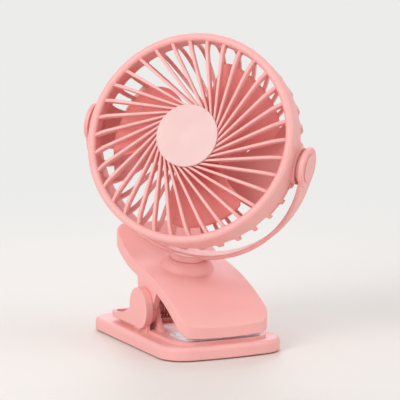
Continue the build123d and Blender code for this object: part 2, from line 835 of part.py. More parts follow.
# round pads at the hoop's two ends, each with its inner hub
with BuildPart() as yoke_pads:
    for side in (-1, 1):
        with BuildSketch(Plane.YZ.offset(side * (yoke_radius - yoke_thick))):
            Circle(yoke_pad_radius)
        extrude(amount=side * yoke_thick)
    outer_faces = yoke_pads.faces().filter_by(lambda face: abs(abs(face.center().X) - yoke_radius) < 0.01)
    fillet(outer_faces.edges(), yoke_edge_round)
    for side in (-1, 1):
        with BuildSketch(Plane.YZ.offset(side * hub_face)):
            Circle(yoke_hub_radius)
        extrude(amount=side * (yoke_radius - yoke_thick / 2 - hub_face))

with BuildPart() as yoke_foot:
    with BuildSketch(Plane.XZ.offset(yoke_height - joint_gap)):
        Circle(yoke_foot_radius)
    extrude(amount=-yoke_foot_thick)
    fillet(yoke_foot.faces().sort_by(Axis.Y)[-1].edges(), yoke_foot_round)
    with BuildSketch(Plane.XZ.offset(yoke_height + stem_end)):
        Circle(stem_radius)
    extrude(amount=-stem_end - 1)

with BuildPart() as yoke_arm:
    # half hoop, trimmed to its tapering width seen from the side
    with BuildSketch():
        Circle(yoke_radius)
        Circle(yoke_radius - yoke_thick, mode=Mode.SUBTRACT)
        Rectangle(2 * yoke_radius, yoke_radius, align=(Align.CENTER, Align.MAX), mode=Mode.INTERSECT)
    extrude(amount=yoke_pad_radius, both=True)
    with BuildSketch(Plane.YZ) as side_view:
        with BuildLine():
            Polyline(
                (0, yoke_leg_half_width), (yoke_taper_high, yoke_leg_half_width),
                (yoke_taper_low, yoke_half_width), (-yoke_radius, yoke_half_width),
                (-yoke_radius, -yoke_half_width), (yoke_taper_low, -yoke_half_width),
                (yoke_taper_high, -yoke_leg_half_width), (0, -yoke_leg_half_width), close=True,
            )
        make_face()
        waist = side_view.vertices().filter_by(lambda vertex: abs(vertex.Y - yoke_taper_low) < 0.01)
        fillet(waist, yoke_taper_round)
    extrude(amount=yoke_radius, both=True, mode=Mode.INTERSECT)
    long_edges = yoke_arm.edges().filter_by(
        lambda edge: edge.center().Y < -0.01 and abs(edge.center().Z) > yoke_half_width - 0.01
    )
    fillet(long_edges, yoke_edge_round)
    add(yoke_pads.part)
    add(yoke_foot.part)
    # bores for the pivot screws, seats for their caps, pilot hole for the swivel screw
    with BuildSketch(Plane.YZ):
        Circle(shoulder_radius + running_gap)
    extrude(amount=yoke_radius + 1, both=True, mode=Mode.SUBTRACT)
    for side in (-1, 1):
        with BuildSketch(Plane.YZ.offset(side * (yoke_radius - cap_seat))):
            Circle(cap_plug_radius + seat_gap)
        extrude(amount=side * (cap_seat + 1), mode=Mode.SUBTRACT)
    with BuildSketch(Plane.XZ.offset(yoke_height + stem_end)):
        Circle(swivel_screw_radius)
    extrude(amount=-swivel_screw_length - 0.4, mode=Mode.SUBTRACT)
save(yoke_arm, "yoke_arm", yoke)

with BuildPart() as pivot_caps:
    for side in (-1, 1):
        with BuildSketch(Plane.YZ.offset(side * yoke_radius)):
            Circle(cap_radius)
        extrude(amount=side * cap_rise)
    cap_top = yoke_radius + cap_rise
    cap_faces = pivot_caps.faces().filter_by(lambda face: abs(face.center().X) > cap_top - 0.01)
    fillet(cap_faces.edges(), cap_round)
    for side in (-1, 1):
        with BuildSketch(Plane.YZ.offset(side * (yoke_radius - cap_plug_length))):
            Circle(cap_plug_radius)
        extrude(amount=side * (cap_plug_length + cap_rise / 2))
save(pivot_caps, "pivot_caps", yoke)

with BuildPart() as swivel_washer:
    with BuildSketch(Plane.XY.offset(-washer_end)):
        Circle(washer_radius)
        Circle(swivel_screw_radius + running_gap, mode=Mode.SUBTRACT)
    extrude(amount=washer_thick)
save(swivel_washer, "swivel_washer", swivel)

with BuildPart() as swivel_screw:
    with BuildSketch(Plane.XY.offset(-washer_end)):
        Circle(swivel_head_radius)
    extrude(amount=-swivel_head_thick)
    with BuildSketch(Plane.XY.offset(-washer_end)):
        Circle(swivel_screw_radius)
    extrude(amount=washer_thick + swivel_screw_length)
save(swivel_screw, "swivel_screw", swivel)

# ================================================================ fan head, about its own Z axis
cage_rear = cage_corner_front - cage_corner          # of the wall's round corner
hub_rear = cage_rear - cage_rear_drop                # outer face at the rear hub
motor_back = hub_rear + cage_wall
motor_front = motor_back + motor_length


def bar_corner(foot, run, across):
    """Point beside a straight bar whose line passes the axis at the spokes' offset.

    The foot is the angle of the bar's nearest point, the run goes along the bar from there and the
    distance across points away from the axis.
    """
    return polar(spoke_offset + across, foot) + polar(run, foot + 90)


def bar_run(radius):
    """How far along a spoke's line a radius is reached."""
    return sqrt(radius ** 2 - spoke_offset ** 2)


spoke_foot = spoke_phase - degrees(acos(spoke_offset / ring_inner))

with BuildPart() as spoke:
    with BuildSketch():
        with BuildLine():
            Polyline(
                bar_corner(spoke_foot, bar_run(spoke_start_radius), -spoke_inner_width / 2),
                bar_corner(spoke_foot, bar_run(spoke_start_radius), spoke_inner_width / 2),
                bar_corner(spoke_foot, bar_run(spoke_end_radius), spoke_outer_width / 2),
                bar_corner(spoke_foot, bar_run(spoke_end_radius), -spoke_outer_width / 2),
                close=True,
            )
        make_face()
    extrude(amount=spoke_hub_front + 1)
    # dished outline, bent back where it meets the ring
    with BuildSketch(Plane.XZ):
        with BuildLine():
            crest = Line((0, spoke_hub_front), (spoke_shoulder_radius, spoke_shoulder_front))
            bend = TangentArc(crest @ 1, (spoke_end_radius + 1, spoke_end_front), tangent=crest % 1)
            back = Line(
                (0, spoke_hub_front - spoke_deep), (spoke_shoulder_radius, spoke_shoulder_front - spoke_deep)
            )
            back_bend = TangentArc(
                back @ 1, (spoke_end_radius + 1, spoke_end_front - spoke_end_deep), tangent=back % 1
            )
            Line(bend @ 1, back_bend @ 1)
            Line(crest @ 0, back @ 0)
        make_face()
    revolve(axis=Axis.Z, mode=Mode.INTERSECT)
    crest_edges = spoke.edges().filter_by(
        lambda edge: edge.length > spoke_outer_width * 2 and edge.center().Z > spoke_end_front + 1
    )
    fillet(crest_edges.group_by(Axis.Z)[-1] + crest_edges.group_by(Axis.Z)[-2], spoke_round)

with BuildPart() as front_grille:
    with BuildSketch(Plane.XZ):
        with Locations(((ring_inner + ring_outer) / 2, (ring_back + ring_front) / 2)):
            Rectangle(ring_outer - ring_inner, ring_front - ring_back)
    revolve(axis=Axis.Z)
    fillet(front_grille.faces().sort_by(Axis.Z)[-1].edges(), ring_round)
    with BuildSketch(Plane.XY.offset(ring_back)):
        Circle(spigot_outer + seat_gap)
        Circle(spigot_inner - seat_gap, mode=Mode.SUBTRACT)
    extrude(amount=spigot_front + seat_gap - ring_back, mode=Mode.SUBTRACT)
    with BuildSketch(Plane.XY.offset(hub_back)):
        Circle(hub_radius)
    extrude(amount=spoke_hub_front - hub_back)
    with PolarLocations(0, spoke_count):
        add(spoke.part)
    with BuildSketch(Plane.XY.offset(hub_back)):
        Circle(spoke_start_radius - hub_wall)
        Circle(badge_stem_radius + hub_wall, mode=Mode.SUBTRACT)
    extrude(amount=spoke_hub_front - hub_wall - hub_back, mode=Mode.SUBTRACT)
    with BuildSketch(Plane.XY.offset(hub_back)):
        Circle(badge_stem_radius + running_gap)
    extrude(amount=spoke_deep + 1, mode=Mode.SUBTRACT)
save(front_grille, "front_grille", head)

with BuildPart() as front_cap:
    with BuildSketch(Plane.XY.offset(spoke_hub_front)):
        Circle(badge_radius)
    extrude(amount=badge_thick)
    fillet(front_cap.faces().sort_by(Axis.Z)[-1].edges(), badge_round)
    with BuildSketch(Plane.XY.offset(hub_back + 0.5)):
        Circle(badge_stem_radius)
    extrude(amount=spoke_hub_front - hub_back)
save(front_cap, "front_cap", head)


def cage_section(inset):
    """Half section of the space inside the rear cage, drawn in from its outer face by an inset."""
    with BuildSketch(Plane.XZ) as section:
        with BuildLine():
            side = Line((cage_outer - inset, ring_back), (cage_outer - inset, cage_corner_front))
            corner = CenterArc((cage_outer - cage_corner, cage_corner_front), cage_corner - inset, 0, -90)
            hub_corner = (cage_hub_radius, hub_rear + inset)
            Polyline(corner @ 1, hub_corner, (0, hub_rear + inset), (0, ring_back), side @ 0)
        make_face()
    return section.sketch


def rib_corner(foot, radius, side):
    """Point on one edge of a rear rib, which widens evenly from the hub to the wall."""
    share = (bar_run(radius) - bar_run(cage_slot_start)) / (bar_run(cage_outer) - bar_run(cage_slot_start))
    width = cage_rib_inner + (cage_rib_outer - cage_rib_inner) * share
    return bar_corner(foot, bar_run(radius), side * width / 2)


def slot_outline(start_radius, end_radius):
    """Face between the first rib and its neighbour, from one radius to another."""
    with BuildSketch() as outline:
        with BuildLine():
            Polyline(
                rib_corner(spoke_foot, start_radius, -1),
                rib_corner(spoke_foot, end_radius, -1),
                rib_corner(spoke_foot + spoke_pitch, end_radius, 1),
                rib_corner(spoke_foot + spoke_pitch, start_radius, 1),
                close=True,
            )
        make_face()
    return outline.sketch


# what one slot takes out of the side wall, with rounded front corners
with BuildPart() as wall_slot:
    extrude(Pos(0, 0, cage_slot_front) * slot_outline(cage_slot_bend, cage_outer + 4), amount=-cage_corner)
    front_edges = wall_slot.faces().sort_by(Axis.Z)[-1].edges().sort_by(SortBy.LENGTH)
    fillet(front_edges[-2:], cage_slot_round)

# the same carried on through the rear face
with BuildPart() as full_slot:
    add(wall_slot.part)
    extrude(Pos(0, 0, hub_rear - 1) * slot_outline(cage_slot_start, cage_outer + 4), amount=cage_corner - 4)

# how far each slot's outer end lies from the nearer pivot, in degrees
slot_middle = spoke_foot + degrees(acos(spoke_offset / cage_outer)) + spoke_pitch / 2
slot_turns = {
    spoke_pitch * number: abs((slot_middle + spoke_pitch * number + 90) % 180 - 90)
    for number in range(spoke_count)
}
wall_slots = [angle for angle, turn in slot_turns.items() if land_half_angle <= turn < rear_land_half_angle]
full_slots = [angle for angle, turn in slot_turns.items() if turn >= rear_land_half_angle]

with BuildPart() as rear_grille:
    revolve(cage_section(0), axis=Axis.Z)
    # bosses that face the yoke
    with BuildSketch(Plane.YZ):
        Circle(pivot_boss_radius)
    extrude(amount=pivot_face, both=True)
    revolve(cage_section(cage_wall), axis=Axis.Z, mode=Mode.SUBTRACT)
    with BuildSketch(Plane.XY.offset(spigot_back)):
        Circle(spigot_outer)
        Circle(spigot_inner, mode=Mode.SUBTRACT)
    extrude(amount=spigot_front - spigot_back)
    with Locations(*[Location((0, 0, 0), (0, 0, angle)) for angle in full_slots]):
        add(full_slot.part, mode=Mode.SUBTRACT)
    with Locations(*[Location((0, 0, 0), (0, 0, angle)) for angle in wall_slots]):
        add(wall_slot.part, mode=Mode.SUBTRACT)
    # pillars for the pivots' threads
    for side in (-1, 1):
        with BuildSketch(Plane.YZ.offset(side * pivot_pillar_end)):
            Circle(pivot_pillar_radius)
        extrude(amount=side * (pivot_face - pivot_pillar_end - 1))
        with BuildSketch(Plane.YZ.offset(side * (pivot_face - pivot_thread_length - 0.4))):
            Circle(pivot_thread_radius)
        extrude(amount=side * (pivot_thread_length + 1), mode=Mode.SUBTRACT)
    # cup for the motor, with holes for its screws
    with BuildSketch(Plane.XY.offset(motor_back - cage_wall / 2)):
        Circle(motor_radius + seat_gap + motor_cup_wall)
    extrude(amount=cage_wall / 2 + motor_cup_deep)
    with BuildSketch(Plane.XY.offset(motor_back)):
        Circle(motor_radius + seat_gap)
    extrude(amount=motor_cup_deep, mode=Mode.SUBTRACT)
    with BuildSketch(Plane.XY.offset(hub_rear)):
        with PolarLocations(motor_screw_ring, 2):
            Circle(motor_screw_radius + running_gap)
    extrude(amount=cage_wall, mode=Mode.SUBTRACT)
save(rear_grille, "rear_grille", head)

with BuildPart() as motor:
    with BuildSketch(Plane.XY.offset(motor_back)):
        Circle(motor_radius)
    extrude(amount=motor_length)
    fillet(motor.faces().sort_by(Axis.Z)[-1].edges(), 1)
    with BuildSketch(Plane.XY.offset(motor_front - 0.5)):
        Circle(rotor_boss_radius)
    extrude(amount=1.5)
    with BuildSketch(Plane.XY.offset(motor_front - shaft_in_motor - 1)):
        Circle(shaft_radius + running_gap)
    extrude(amount=shaft_in_motor + 3, mode=Mode.SUBTRACT)
    with BuildSketch(Plane.XY.offset(motor_back)):
        with PolarLocations(motor_screw_ring, 2):
            Circle(motor_screw_radius)
    extrude(amount=motor_screw_length, mode=Mode.SUBTRACT)
save(motor, "motor", head)

with BuildPart() as motor_screws:
    with BuildSketch(Plane.XY.offset(hub_rear)):
        with PolarLocations(motor_screw_ring, 2):
            Circle(motor_screw_head)
    extrude(amount=-motor_screw_head_thick)
    with BuildSketch(Plane.XY.offset(hub_rear)):
        with PolarLocations(motor_screw_ring, 2):
            Circle(motor_screw_radius)
    extrude(amount=cage_wall + motor_screw_length - 0.5)
save(motor_screws, "motor_screws", head)

with BuildPart() as motor_cover:
    with BuildSketch(Plane.XY.offset(hub_rear)):
        Circle(rear_cover_radius)
    extrude(amount=-rear_cover_rise)
    fillet(motor_cover.faces().sort_by(Axis.Z)[0].edges(), rear_cover_wall)
    with BuildSketch(Plane.XY.offset(hub_rear)):
        Circle(rear_cover_radius - rear_cover_wall)
    extrude(amount=rear_cover_wall - rear_cover_rise, mode=Mode.SUBTRACT)
save(motor_cover, "motor_cover", head)

with BuildPart() as pivot_screws:
    head_seat = yoke_radius - cap_seat + thrust_gap
    for side in (-1, 1):
        with BuildSketch(Plane.YZ.offset(side * (pivot_face - pivot_thread_length))):
            Circle(pivot_thread_radius)
        extrude(amount=side * (pivot_thread_length + 1))
        with BuildSketch(Plane.YZ.offset(side * pivot_face)):
            Circle(shoulder_radius)
        extrude(amount=side * (head_seat - pivot_face))
        with BuildSketch(Plane.YZ.offset(side * head_seat)):
            Circle(pivot_head_radius)
        extrude(amount=side * pivot_head_thick)
save(pivot_screws, "pivot_screws", head)

with BuildPart() as pivot_washers:
    for side in (-1, 1):
        with BuildSketch(Plane.YZ.offset(side * pivot_face)):
            Circle(friction_washer_radius)
            Circle(shoulder_radius + running_gap, mode=Mode.SUBTRACT)
        extrude(amount=side * friction_washer_thick)
save(pivot_washers, "pivot_washers", head)

# ================================================================ rotor
with BuildPart() as blade:
    # twisted slab, square to the radius at both ends
    for radius, pitch in ((blade_root_radius - 6, blade_root_pitch), (blade_radius + 4, blade_tip_pitch)):
        across = (0, cos(radians(pitch)), sin(radians(pitch)))
        with BuildSketch(Plane(origin=(radius, 0, blade_middle), x_dir=across, z_dir=(1, 0, 0))):
            Rectangle(2 * blade_radius, blade_thick)
    loft(ruled=True)
    with BuildSketch() as outline:
        with BuildLine():
            front_edge = ThreePointArc(
                polar(blade_root_radius, blade_root_span / 2),
                polar(blade_waist_radius, blade_front_waist),
                polar(blade_radius, blade_span / 2),
            )
            back_edge = ThreePointArc(
                polar(blade_root_radius, -blade_root_span / 2),
                polar(blade_waist_radius, -blade_back_waist),
                polar(blade_radius, -blade_span / 2),
            )
            ThreePointArc(front_edge @ 1, (blade_radius, 0), back_edge @ 1)
            ThreePointArc(front_edge @ 0, (blade_root_radius, 0), back_edge @ 0)
        make_face()
        tips = outline.vertices().filter_by(lambda vertex: hypot(vertex.X, vertex.Y) > blade_radius - 1)
        fillet(tips, blade_tip_corner)
    extrude(amount=blade_radius, both=True, mode=Mode.INTERSECT)

with BuildPart() as fan_blades:
    with BuildSketch(Plane.XY.offset(rotor_hub_back)):
        Circle(rotor_hub_radius)
    extrude(amount=rotor_hub_front - rotor_hub_back)
    fillet(fan_blades.faces().sort_by(Axis.Z)[-1].edges(), rotor_hub_round)
    with PolarLocations(0, blade_count, start_angle=blade_phase):
        add(blade.part)
    with BuildSketch(Plane.XY.offset(rotor_hub_back)):
        Circle(rotor_hub_radius - rotor_hub_wall)
    extrude(amount=rotor_hub_front - rotor_hub_wall - rotor_hub_back, mode=Mode.SUBTRACT)
    with BuildSketch(Plane.XY.offset(rotor_boss_back)):
        Circle(rotor_boss_radius)
    extrude(amount=rotor_hub_front - rotor_boss_back - 0.5)
    with BuildSketch(Plane.XY.offset(rotor_boss_back)):
        Circle(shaft_radius + press_gap)
    extrude(amount=rotor_hub_front - rotor_hub_wall - rotor_boss_back, mode=Mode.SUBTRACT)
save(fan_blades, "fan_blades", head)

with BuildPart() as motor_shaft:
    with BuildSketch(Plane.XY.offset(motor_front - shaft_in_motor)):
        Circle(shaft_radius)
    extrude(amount=shaft_in_motor - motor_front + rotor_hub_front - rotor_hub_wall - 0.5)
save(motor_shaft, "motor_shaft", head)
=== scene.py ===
"""Looks of the clip fan: finishes, fine pieces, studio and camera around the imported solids."""

import json
import logging
import math
from dataclasses import dataclass, field
from enum import Enum
from typing import Iterable, Sequence

import bmesh
import bpy
import numpy as np
from mathutils import Matrix, Vector


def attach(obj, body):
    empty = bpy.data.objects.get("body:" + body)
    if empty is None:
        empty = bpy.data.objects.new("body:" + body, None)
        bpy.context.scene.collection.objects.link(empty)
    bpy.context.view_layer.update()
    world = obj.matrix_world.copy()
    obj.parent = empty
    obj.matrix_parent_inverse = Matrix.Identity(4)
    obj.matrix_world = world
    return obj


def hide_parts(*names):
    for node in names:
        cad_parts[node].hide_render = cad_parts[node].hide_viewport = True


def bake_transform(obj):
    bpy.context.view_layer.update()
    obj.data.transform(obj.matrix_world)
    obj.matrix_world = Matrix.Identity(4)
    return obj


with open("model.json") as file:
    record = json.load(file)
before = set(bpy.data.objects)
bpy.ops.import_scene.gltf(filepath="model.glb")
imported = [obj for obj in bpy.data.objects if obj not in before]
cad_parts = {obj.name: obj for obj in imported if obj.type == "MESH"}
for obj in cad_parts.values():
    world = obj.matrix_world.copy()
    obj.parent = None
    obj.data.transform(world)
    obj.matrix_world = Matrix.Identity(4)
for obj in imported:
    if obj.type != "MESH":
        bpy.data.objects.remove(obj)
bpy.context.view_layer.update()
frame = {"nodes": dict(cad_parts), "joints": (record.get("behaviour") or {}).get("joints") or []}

MM = 0.001

logging.basicConfig(level=logging.INFO, format="%(message)s")
log = logging.getLogger("clip_fan")

Colour = tuple[float, float, float]
Profile = Sequence[tuple[float, float]]


class Body(str, Enum):
    """Moving bodies of the fan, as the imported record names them."""

    BASE = "base"
    UPPER_JAW = "upper_jaw"
    BUTTON = "button"
    YOKE = "yoke"
    HEAD = "head"
    ROTOR = "rotor"


def srgb(red: int, green: int, blue: int) -> Colour:
    """Turn an 8-bit display colour into the linear colour that shaders take.

    Args:
        red: Red from 0 to 255.
        green: Green from 0 to 255.
        blue: Blue from 0 to 255.

    Returns:
        The linear colour.
    """

    def linear(value: int) -> float:
        """Take the display curve off one channel."""
        share = value / 255
        return share / 12.92 if share <= 0.04045 else ((share + 0.055) / 1.055) ** 2.4

    return linear(red), linear(green), linear(blue)


def scaled(colour: Colour, factor: float) -> Colour:
    """Make a colour lighter or darker.

    Args:
        colour: The linear colour.
        factor: What each channel is multiplied by.

    Returns:
        The new colour, kept at or under 1.
    """
    return tuple(min(1.0, channel * factor) for channel in colour)


# ---------------------------------------------------------------- finishes


class Graph:
    """One material's node tree, with short ways to add what the finishes share."""

    def __init__(self, name: str) -> None:
        """Start an empty material.

        Args:
            name: The material's name.
        """
        self.material = bpy.data.materials.new(name)
        self.material.use_nodes = True
        self.tree = self.material.node_tree
        self.shader = self.tree.nodes["Principled BSDF"]
        self.place = self.add("ShaderNodeTexCoord").outputs["Object"]

    def add(self, kind: str, **settings: object) -> bpy.types.Node:
        """Add a node.

        Args:
            kind: Blender's name of the node type.
            **settings: Properties to set on it.

        Returns:
            The node.
        """
        node = self.tree.nodes.new(kind)
        for key, value in settings.items():
            setattr(node, key, value)
        return node

    def link(self, source: bpy.types.NodeSocket, target: bpy.types.NodeSocket) -> None:
        """Join two sockets."""
        self.tree.links.new(source, target)

    def noise(self, scale: float, detail: float = 2.0, stretch: Sequence[float] = (1, 1, 1)) -> bpy.types.NodeSocket:
        """Noise over the object's own space.

        Args:
            scale: Cells to the metre.
            detail: Octaves.
            stretch: Scale along each axis, for grain that runs one way.

        Returns:
            The noise value's socket.
        """
        node = self.add("ShaderNodeTexNoise")
        node.inputs["Scale"].default_value = scale
        node.inputs["Detail"].default_value = detail
        if tuple(stretch) != (1, 1, 1):
            mapping = self.add("ShaderNodeMapping")
            mapping.inputs["Scale"].default_value = stretch
            self.link(self.place, mapping.inputs["Vector"])
            self.link(mapping.outputs["Vector"], node.inputs["Vector"])
        else:
            self.link(self.place, node.inputs["Vector"])
        return node.outputs["Fac"]

    def spread(self, value: bpy.types.NodeSocket, low: float, high: float, start: float = 0.3,
               end: float = 0.7) -> bpy.types.NodeSocket:
        """Map a value onto a new range.

        Args:
            value: What is mapped.
            low: Result at the start value.
            high: Result at the end value.
            start: Value that gives the low result.
            end: Value that gives the high result.

        Returns:
            The mapped value's socket.
        """
        node = self.add("ShaderNodeMapRange")
        self.link(value, node.inputs["Value"])
        node.inputs["From Min"].default_value = start
        node.inputs["From Max"].default_value = end
        node.inputs["To Min"].default_value = low
        node.inputs["To Max"].default_value = high
        return node.outputs["Result"]

    def blend(self, share: bpy.types.NodeSocket, first: object, second: object) -> bpy.types.NodeSocket:
        """Mix two colours, each a colour or a socket.

        Args:
            share: How much of the second shows.
            first: The first colour.
            second: The second colour.

        Returns:
            The mixed colour's socket.
        """
        node = self.add("ShaderNodeMix", data_type="RGBA")
        self.link(share, node.inputs["Factor"])
        for name, colour in (("A", first), ("B", second)):
            socket = [s for s in node.inputs if s.name == name and s.type == "RGBA"][0]
            if isinstance(colour, bpy.types.NodeSocket):
                self.link(colour, socket)
            else:
                socket.default_value = (*colour, 1)
        return [s for s in node.outputs if s.type == "RGBA"][0]

    def soft_edges(self, radius: float) -> bpy.types.NodeSocket:
        """Normals rounded over the edges, as a mould leaves them.

        Args:
            radius: Rounding in metres.

        Returns:
            The normal's socket.
        """
        node = self.add("ShaderNodeBevel", samples=6)
        node.inputs["Radius"].default_value = radius
        return node.outputs["Normal"]

    def edge_mask(self, rounded: bpy.types.NodeSocket) -> bpy.types.NodeSocket:
        """How strongly a point lies on an edge.

        Args:
            rounded: Normals rounded over the edges.

        Returns:
            Socket of a value that rises from 0 on flat faces towards 1 on edges.
        """
        plain = self.add("ShaderNodeNewGeometry").outputs["Normal"]
        match = self.add("ShaderNodeVectorMath", operation="DOT_PRODUCT")
        self.link(rounded, match.inputs[0])
        self.link(plain, match.inputs[1])
        return self.spread(match.outputs["Value"], 1.0, 0.0, 0.75, 0.99)

    def bump(self, height: bpy.types.NodeSocket, distance: float,
             normal: bpy.types.NodeSocket | None = None) -> bpy.types.NodeSocket:
        """Relief over the surface.

        Args:
            height: Height from 0 to 1.
            distance: Height in metres that 1 stands for.
            normal: Normals that the relief is laid on.

        Returns:
            The normal's socket.
        """
        node = self.add("ShaderNodeBump")
        node.inputs["Strength"].default_value = 1.0
        node.inputs["Distance"].default_value = distance
        self.link(height, node.inputs["Height"])
        if normal is not None:
            self.link(normal, node.inputs["Normal"])
        return node.outputs["Normal"]


@dataclass(frozen=True)
class Finish:
    """A surface finish; each kind writes its own nodes."""

    name: str
    colour: Colour
    roughness: float = 0.45

    def dress(self, graph: Graph) -> None:
        """Write the finish's nodes into a graph.

        Args:
            graph: The graph that takes them.
        """
        raise NotImplementedError

    def build(self) -> bpy.types.Material:
        """Make the finish's material.

        Returns:
            The material.
        """
        graph = Graph(self.name)
        self.dress(graph)
        log.info("finish %s: %d nodes", self.name, len(graph.tree.nodes))
        return graph.material


@dataclass(frozen=True)
class MouldedPlastic(Finish):
    """Spark-eroded moulded plastic: fine grain, slow waves, edges a little polished and painted paler, partly as wear
    and partly as a painted highlight.
    """

    grain: float = 0.000012
    waves: float = 0.00006
    tone: float = 0.03
    edge_radius: float = 0.00045
    edge_highlight_tone: float = 1.04
    glow: float = 0.12
    glow_depth: float = 0.0012

    def dress(self, graph: Graph) -> None:
        """Write the finish's nodes into a graph.

        Args:
            graph: The graph that takes them.
        """
        rounded = graph.soft_edges(self.edge_radius)
        edge = graph.edge_mask(rounded)
        cloud = graph.spread(graph.noise(26, 3), 0, 1)
        fleck = graph.spread(graph.noise(900, 1), 0, 1, 0.35, 0.65)
        base = graph.blend(cloud, scaled(self.colour, 1 - self.tone), scaled(self.colour, 1 + self.tone / 2))
        speckled = graph.blend(graph.spread(fleck, 0, 0.35, 0, 1), base, scaled(self.colour, 1 - self.tone))
        # Edges painted paler: partly polish wear, partly a painted highlight along the rims.
        raised_paler = graph.blend(graph.spread(edge, 0, 0.6, 0, 1), speckled, scaled(self.colour, self.edge_highlight_tone))
        graph.link(raised_paler, graph.shader.inputs["Base Color"])
        grease = graph.noise(70, 4)
        graph.link(graph.spread(grease, self.roughness - 0.05, self.roughness + 0.06), graph.shader.inputs["Roughness"])
        slow = graph.bump(graph.noise(45, 2), self.waves, rounded)
        fine = graph.bump(graph.noise(2400, 2), self.grain, slow)
        graph.link(fine, graph.shader.inputs["Normal"])
        graph.shader.inputs["Subsurface Weight"].default_value = self.glow
        graph.shader.inputs["Subsurface Radius"].default_value = (1.0, 0.45, 0.4)
        graph.shader.inputs["Subsurface Scale"].default_value = self.glow_depth
        graph.shader.inputs["IOR"].default_value = 1.47


@dataclass(frozen=True)
class Silicone(Finish):
    """Milky silicone with fine ribs across it, darker in the valleys."""

    rib_pitch: float = 0.0016
    rib_height: float = 0.00012
    valley_tint: Colour = (0.62, 0.52, 0.50)

    def dress(self, graph: Graph) -> None:
        """Write the finish's nodes into a graph.

        Args:
            graph: The graph that takes them.
        """
        wave = graph.add("ShaderNodeTexWave", wave_type="BANDS", bands_direction="X", wave_profile="SIN")
        wave.inputs["Scale"].default_value = 1 / (self.rib_pitch * 20)
        wave.inputs["Distortion"].default_value = 0.0
        graph.link(graph.place, wave.inputs["Vector"])
        ribs = wave.outputs["Fac"]
        # The rib valleys are blended towards a darker tint.
        valley = graph.spread(ribs, 0.30, 0.0, 0.0, 0.5)
        colour = graph.blend(valley, self.colour, self.valley_tint)
        cloudy = graph.blend(graph.spread(graph.noise(60, 3), 0, 0.4), colour, scaled(self.colour, 0.93))
        graph.link(cloudy, graph.shader.inputs["Base Color"])
        relief = graph.bump(ribs, self.rib_height, graph.soft_edges(0.0004))
        graph.link(graph.bump(graph.noise(1500, 2), 0.00001, relief), graph.shader.inputs["Normal"])
        graph.link(graph.spread(graph.noise(120, 2), self.roughness - 0.06, self.roughness + 0.08),
                   graph.shader.inputs["Roughness"])
        graph.shader.inputs["Subsurface Weight"].default_value = 0.6
        graph.shader.inputs["Subsurface Radius"].default_value = (1.0, 0.85, 0.8)
        graph.shader.inputs["Subsurface Scale"].default_value = 0.003
        graph.shader.inputs["Transmission Weight"].default_value = 0.18
        graph.shader.inputs["IOR"].default_value = 1.41


@dataclass(frozen=True)
class GripRubber(Finish):
    """Dull rubber sheet with a woven anti-slip pattern."""

    cell: float = 0.0022

    def dress(self, graph: Graph) -> None:
        """Write the finish's nodes into a graph.

        Args:
            graph: The graph that takes them.
        """
        heights = []
        for direction in ("X", "Y"):
            wave = graph.add("ShaderNodeTexWave", wave_type="BANDS", bands_direction=direction)
            wave.inputs["Scale"].default_value = 1 / (self.cell * 20)
            graph.link(graph.place, wave.inputs["Vector"])
            heights.append(wave.outputs["Fac"])
        cross = graph.add("ShaderNodeMath", operation="MULTIPLY")
        graph.link(heights[0], cross.inputs[0])
        graph.link(heights[1], cross.inputs[1])
        raised_paler = graph.blend(graph.spread(cross.outputs[0], 0, 1, 0, 1), scaled(self.colour, 0.7),
                           scaled(self.colour, 1.15))
        dusty = graph.blend(graph.spread(graph.noise(110, 4), 0, 0.35), raised_paler, scaled(self.colour, 1.5))
        graph.link(dusty, graph.shader.inputs["Base Color"])
        graph.link(graph.bump(cross.outputs[0], 0.00015), graph.shader.inputs["Normal"])
        graph.link(graph.spread(graph.noise(300, 2), self.roughness - 0.05, self.roughness + 0.05),
                   graph.shader.inputs["Roughness"])


@dataclass(frozen=True)
class DrawnSteel(Finish):
    """Drawn or turned steel: fine lines one way, a slight tint in patches."""

    tint: Colour = (0.5, 0.42, 0.36)
    lines: Sequence[float] = (1, 1, 0.03)

    def dress(self, graph: Graph) -> None:
        """Write the finish's nodes into a graph.

        Args:
            graph: The graph that takes them.
        """
        patches = graph.spread(graph.noise(160, 4), 0, 0.5)
        graph.link(graph.blend(patches, self.colour, self.tint), graph.shader.inputs["Base Color"])
        drawn = graph.noise(5200, 2, self.lines)
        graph.link(graph.spread(drawn, self.roughness - 0.08, self.roughness + 0.1), graph.shader.inputs["Roughness"])
        graph.link(graph.bump(drawn, 0.000008, graph.soft_edges(0.00015)), graph.shader.inputs["Normal"])
        graph.shader.inputs["Metallic"].default_value = 1.0


@dataclass(frozen=True)
class Laminate(Finish):
    """Lacquered circuit board: woven glass under a coloured mask with thin tracks."""

    track: Colour = (0.16, 0.42, 0.22)

    def dress(self, graph: Graph) -> None:
        """Write the finish's nodes into a graph.

        Args:
            graph: The graph that takes them.
        """
        bricks = graph.add("ShaderNodeTexBrick")
        bricks.inputs["Scale"].default_value = 400
        bricks.inputs["Color1"].default_value = (*self.colour, 1)
        bricks.inputs["Color2"].default_value = (*scaled(self.colour, 1.25), 1)
        bricks.inputs["Mortar"].default_value = (*self.track, 1)
        graph.link(graph.place, bricks.inputs["Vector"])
        graph.link(bricks.outputs["Color"], graph.shader.inputs["Base Color"])
        graph.link(graph.bump(bricks.outputs["Fac"], 0.00003), graph.shader.inputs["Normal"])
        graph.link(graph.spread(graph.noise(500, 2), self.roughness - 0.05, self.roughness + 0.08),
                   graph.shader.inputs["Roughness"])


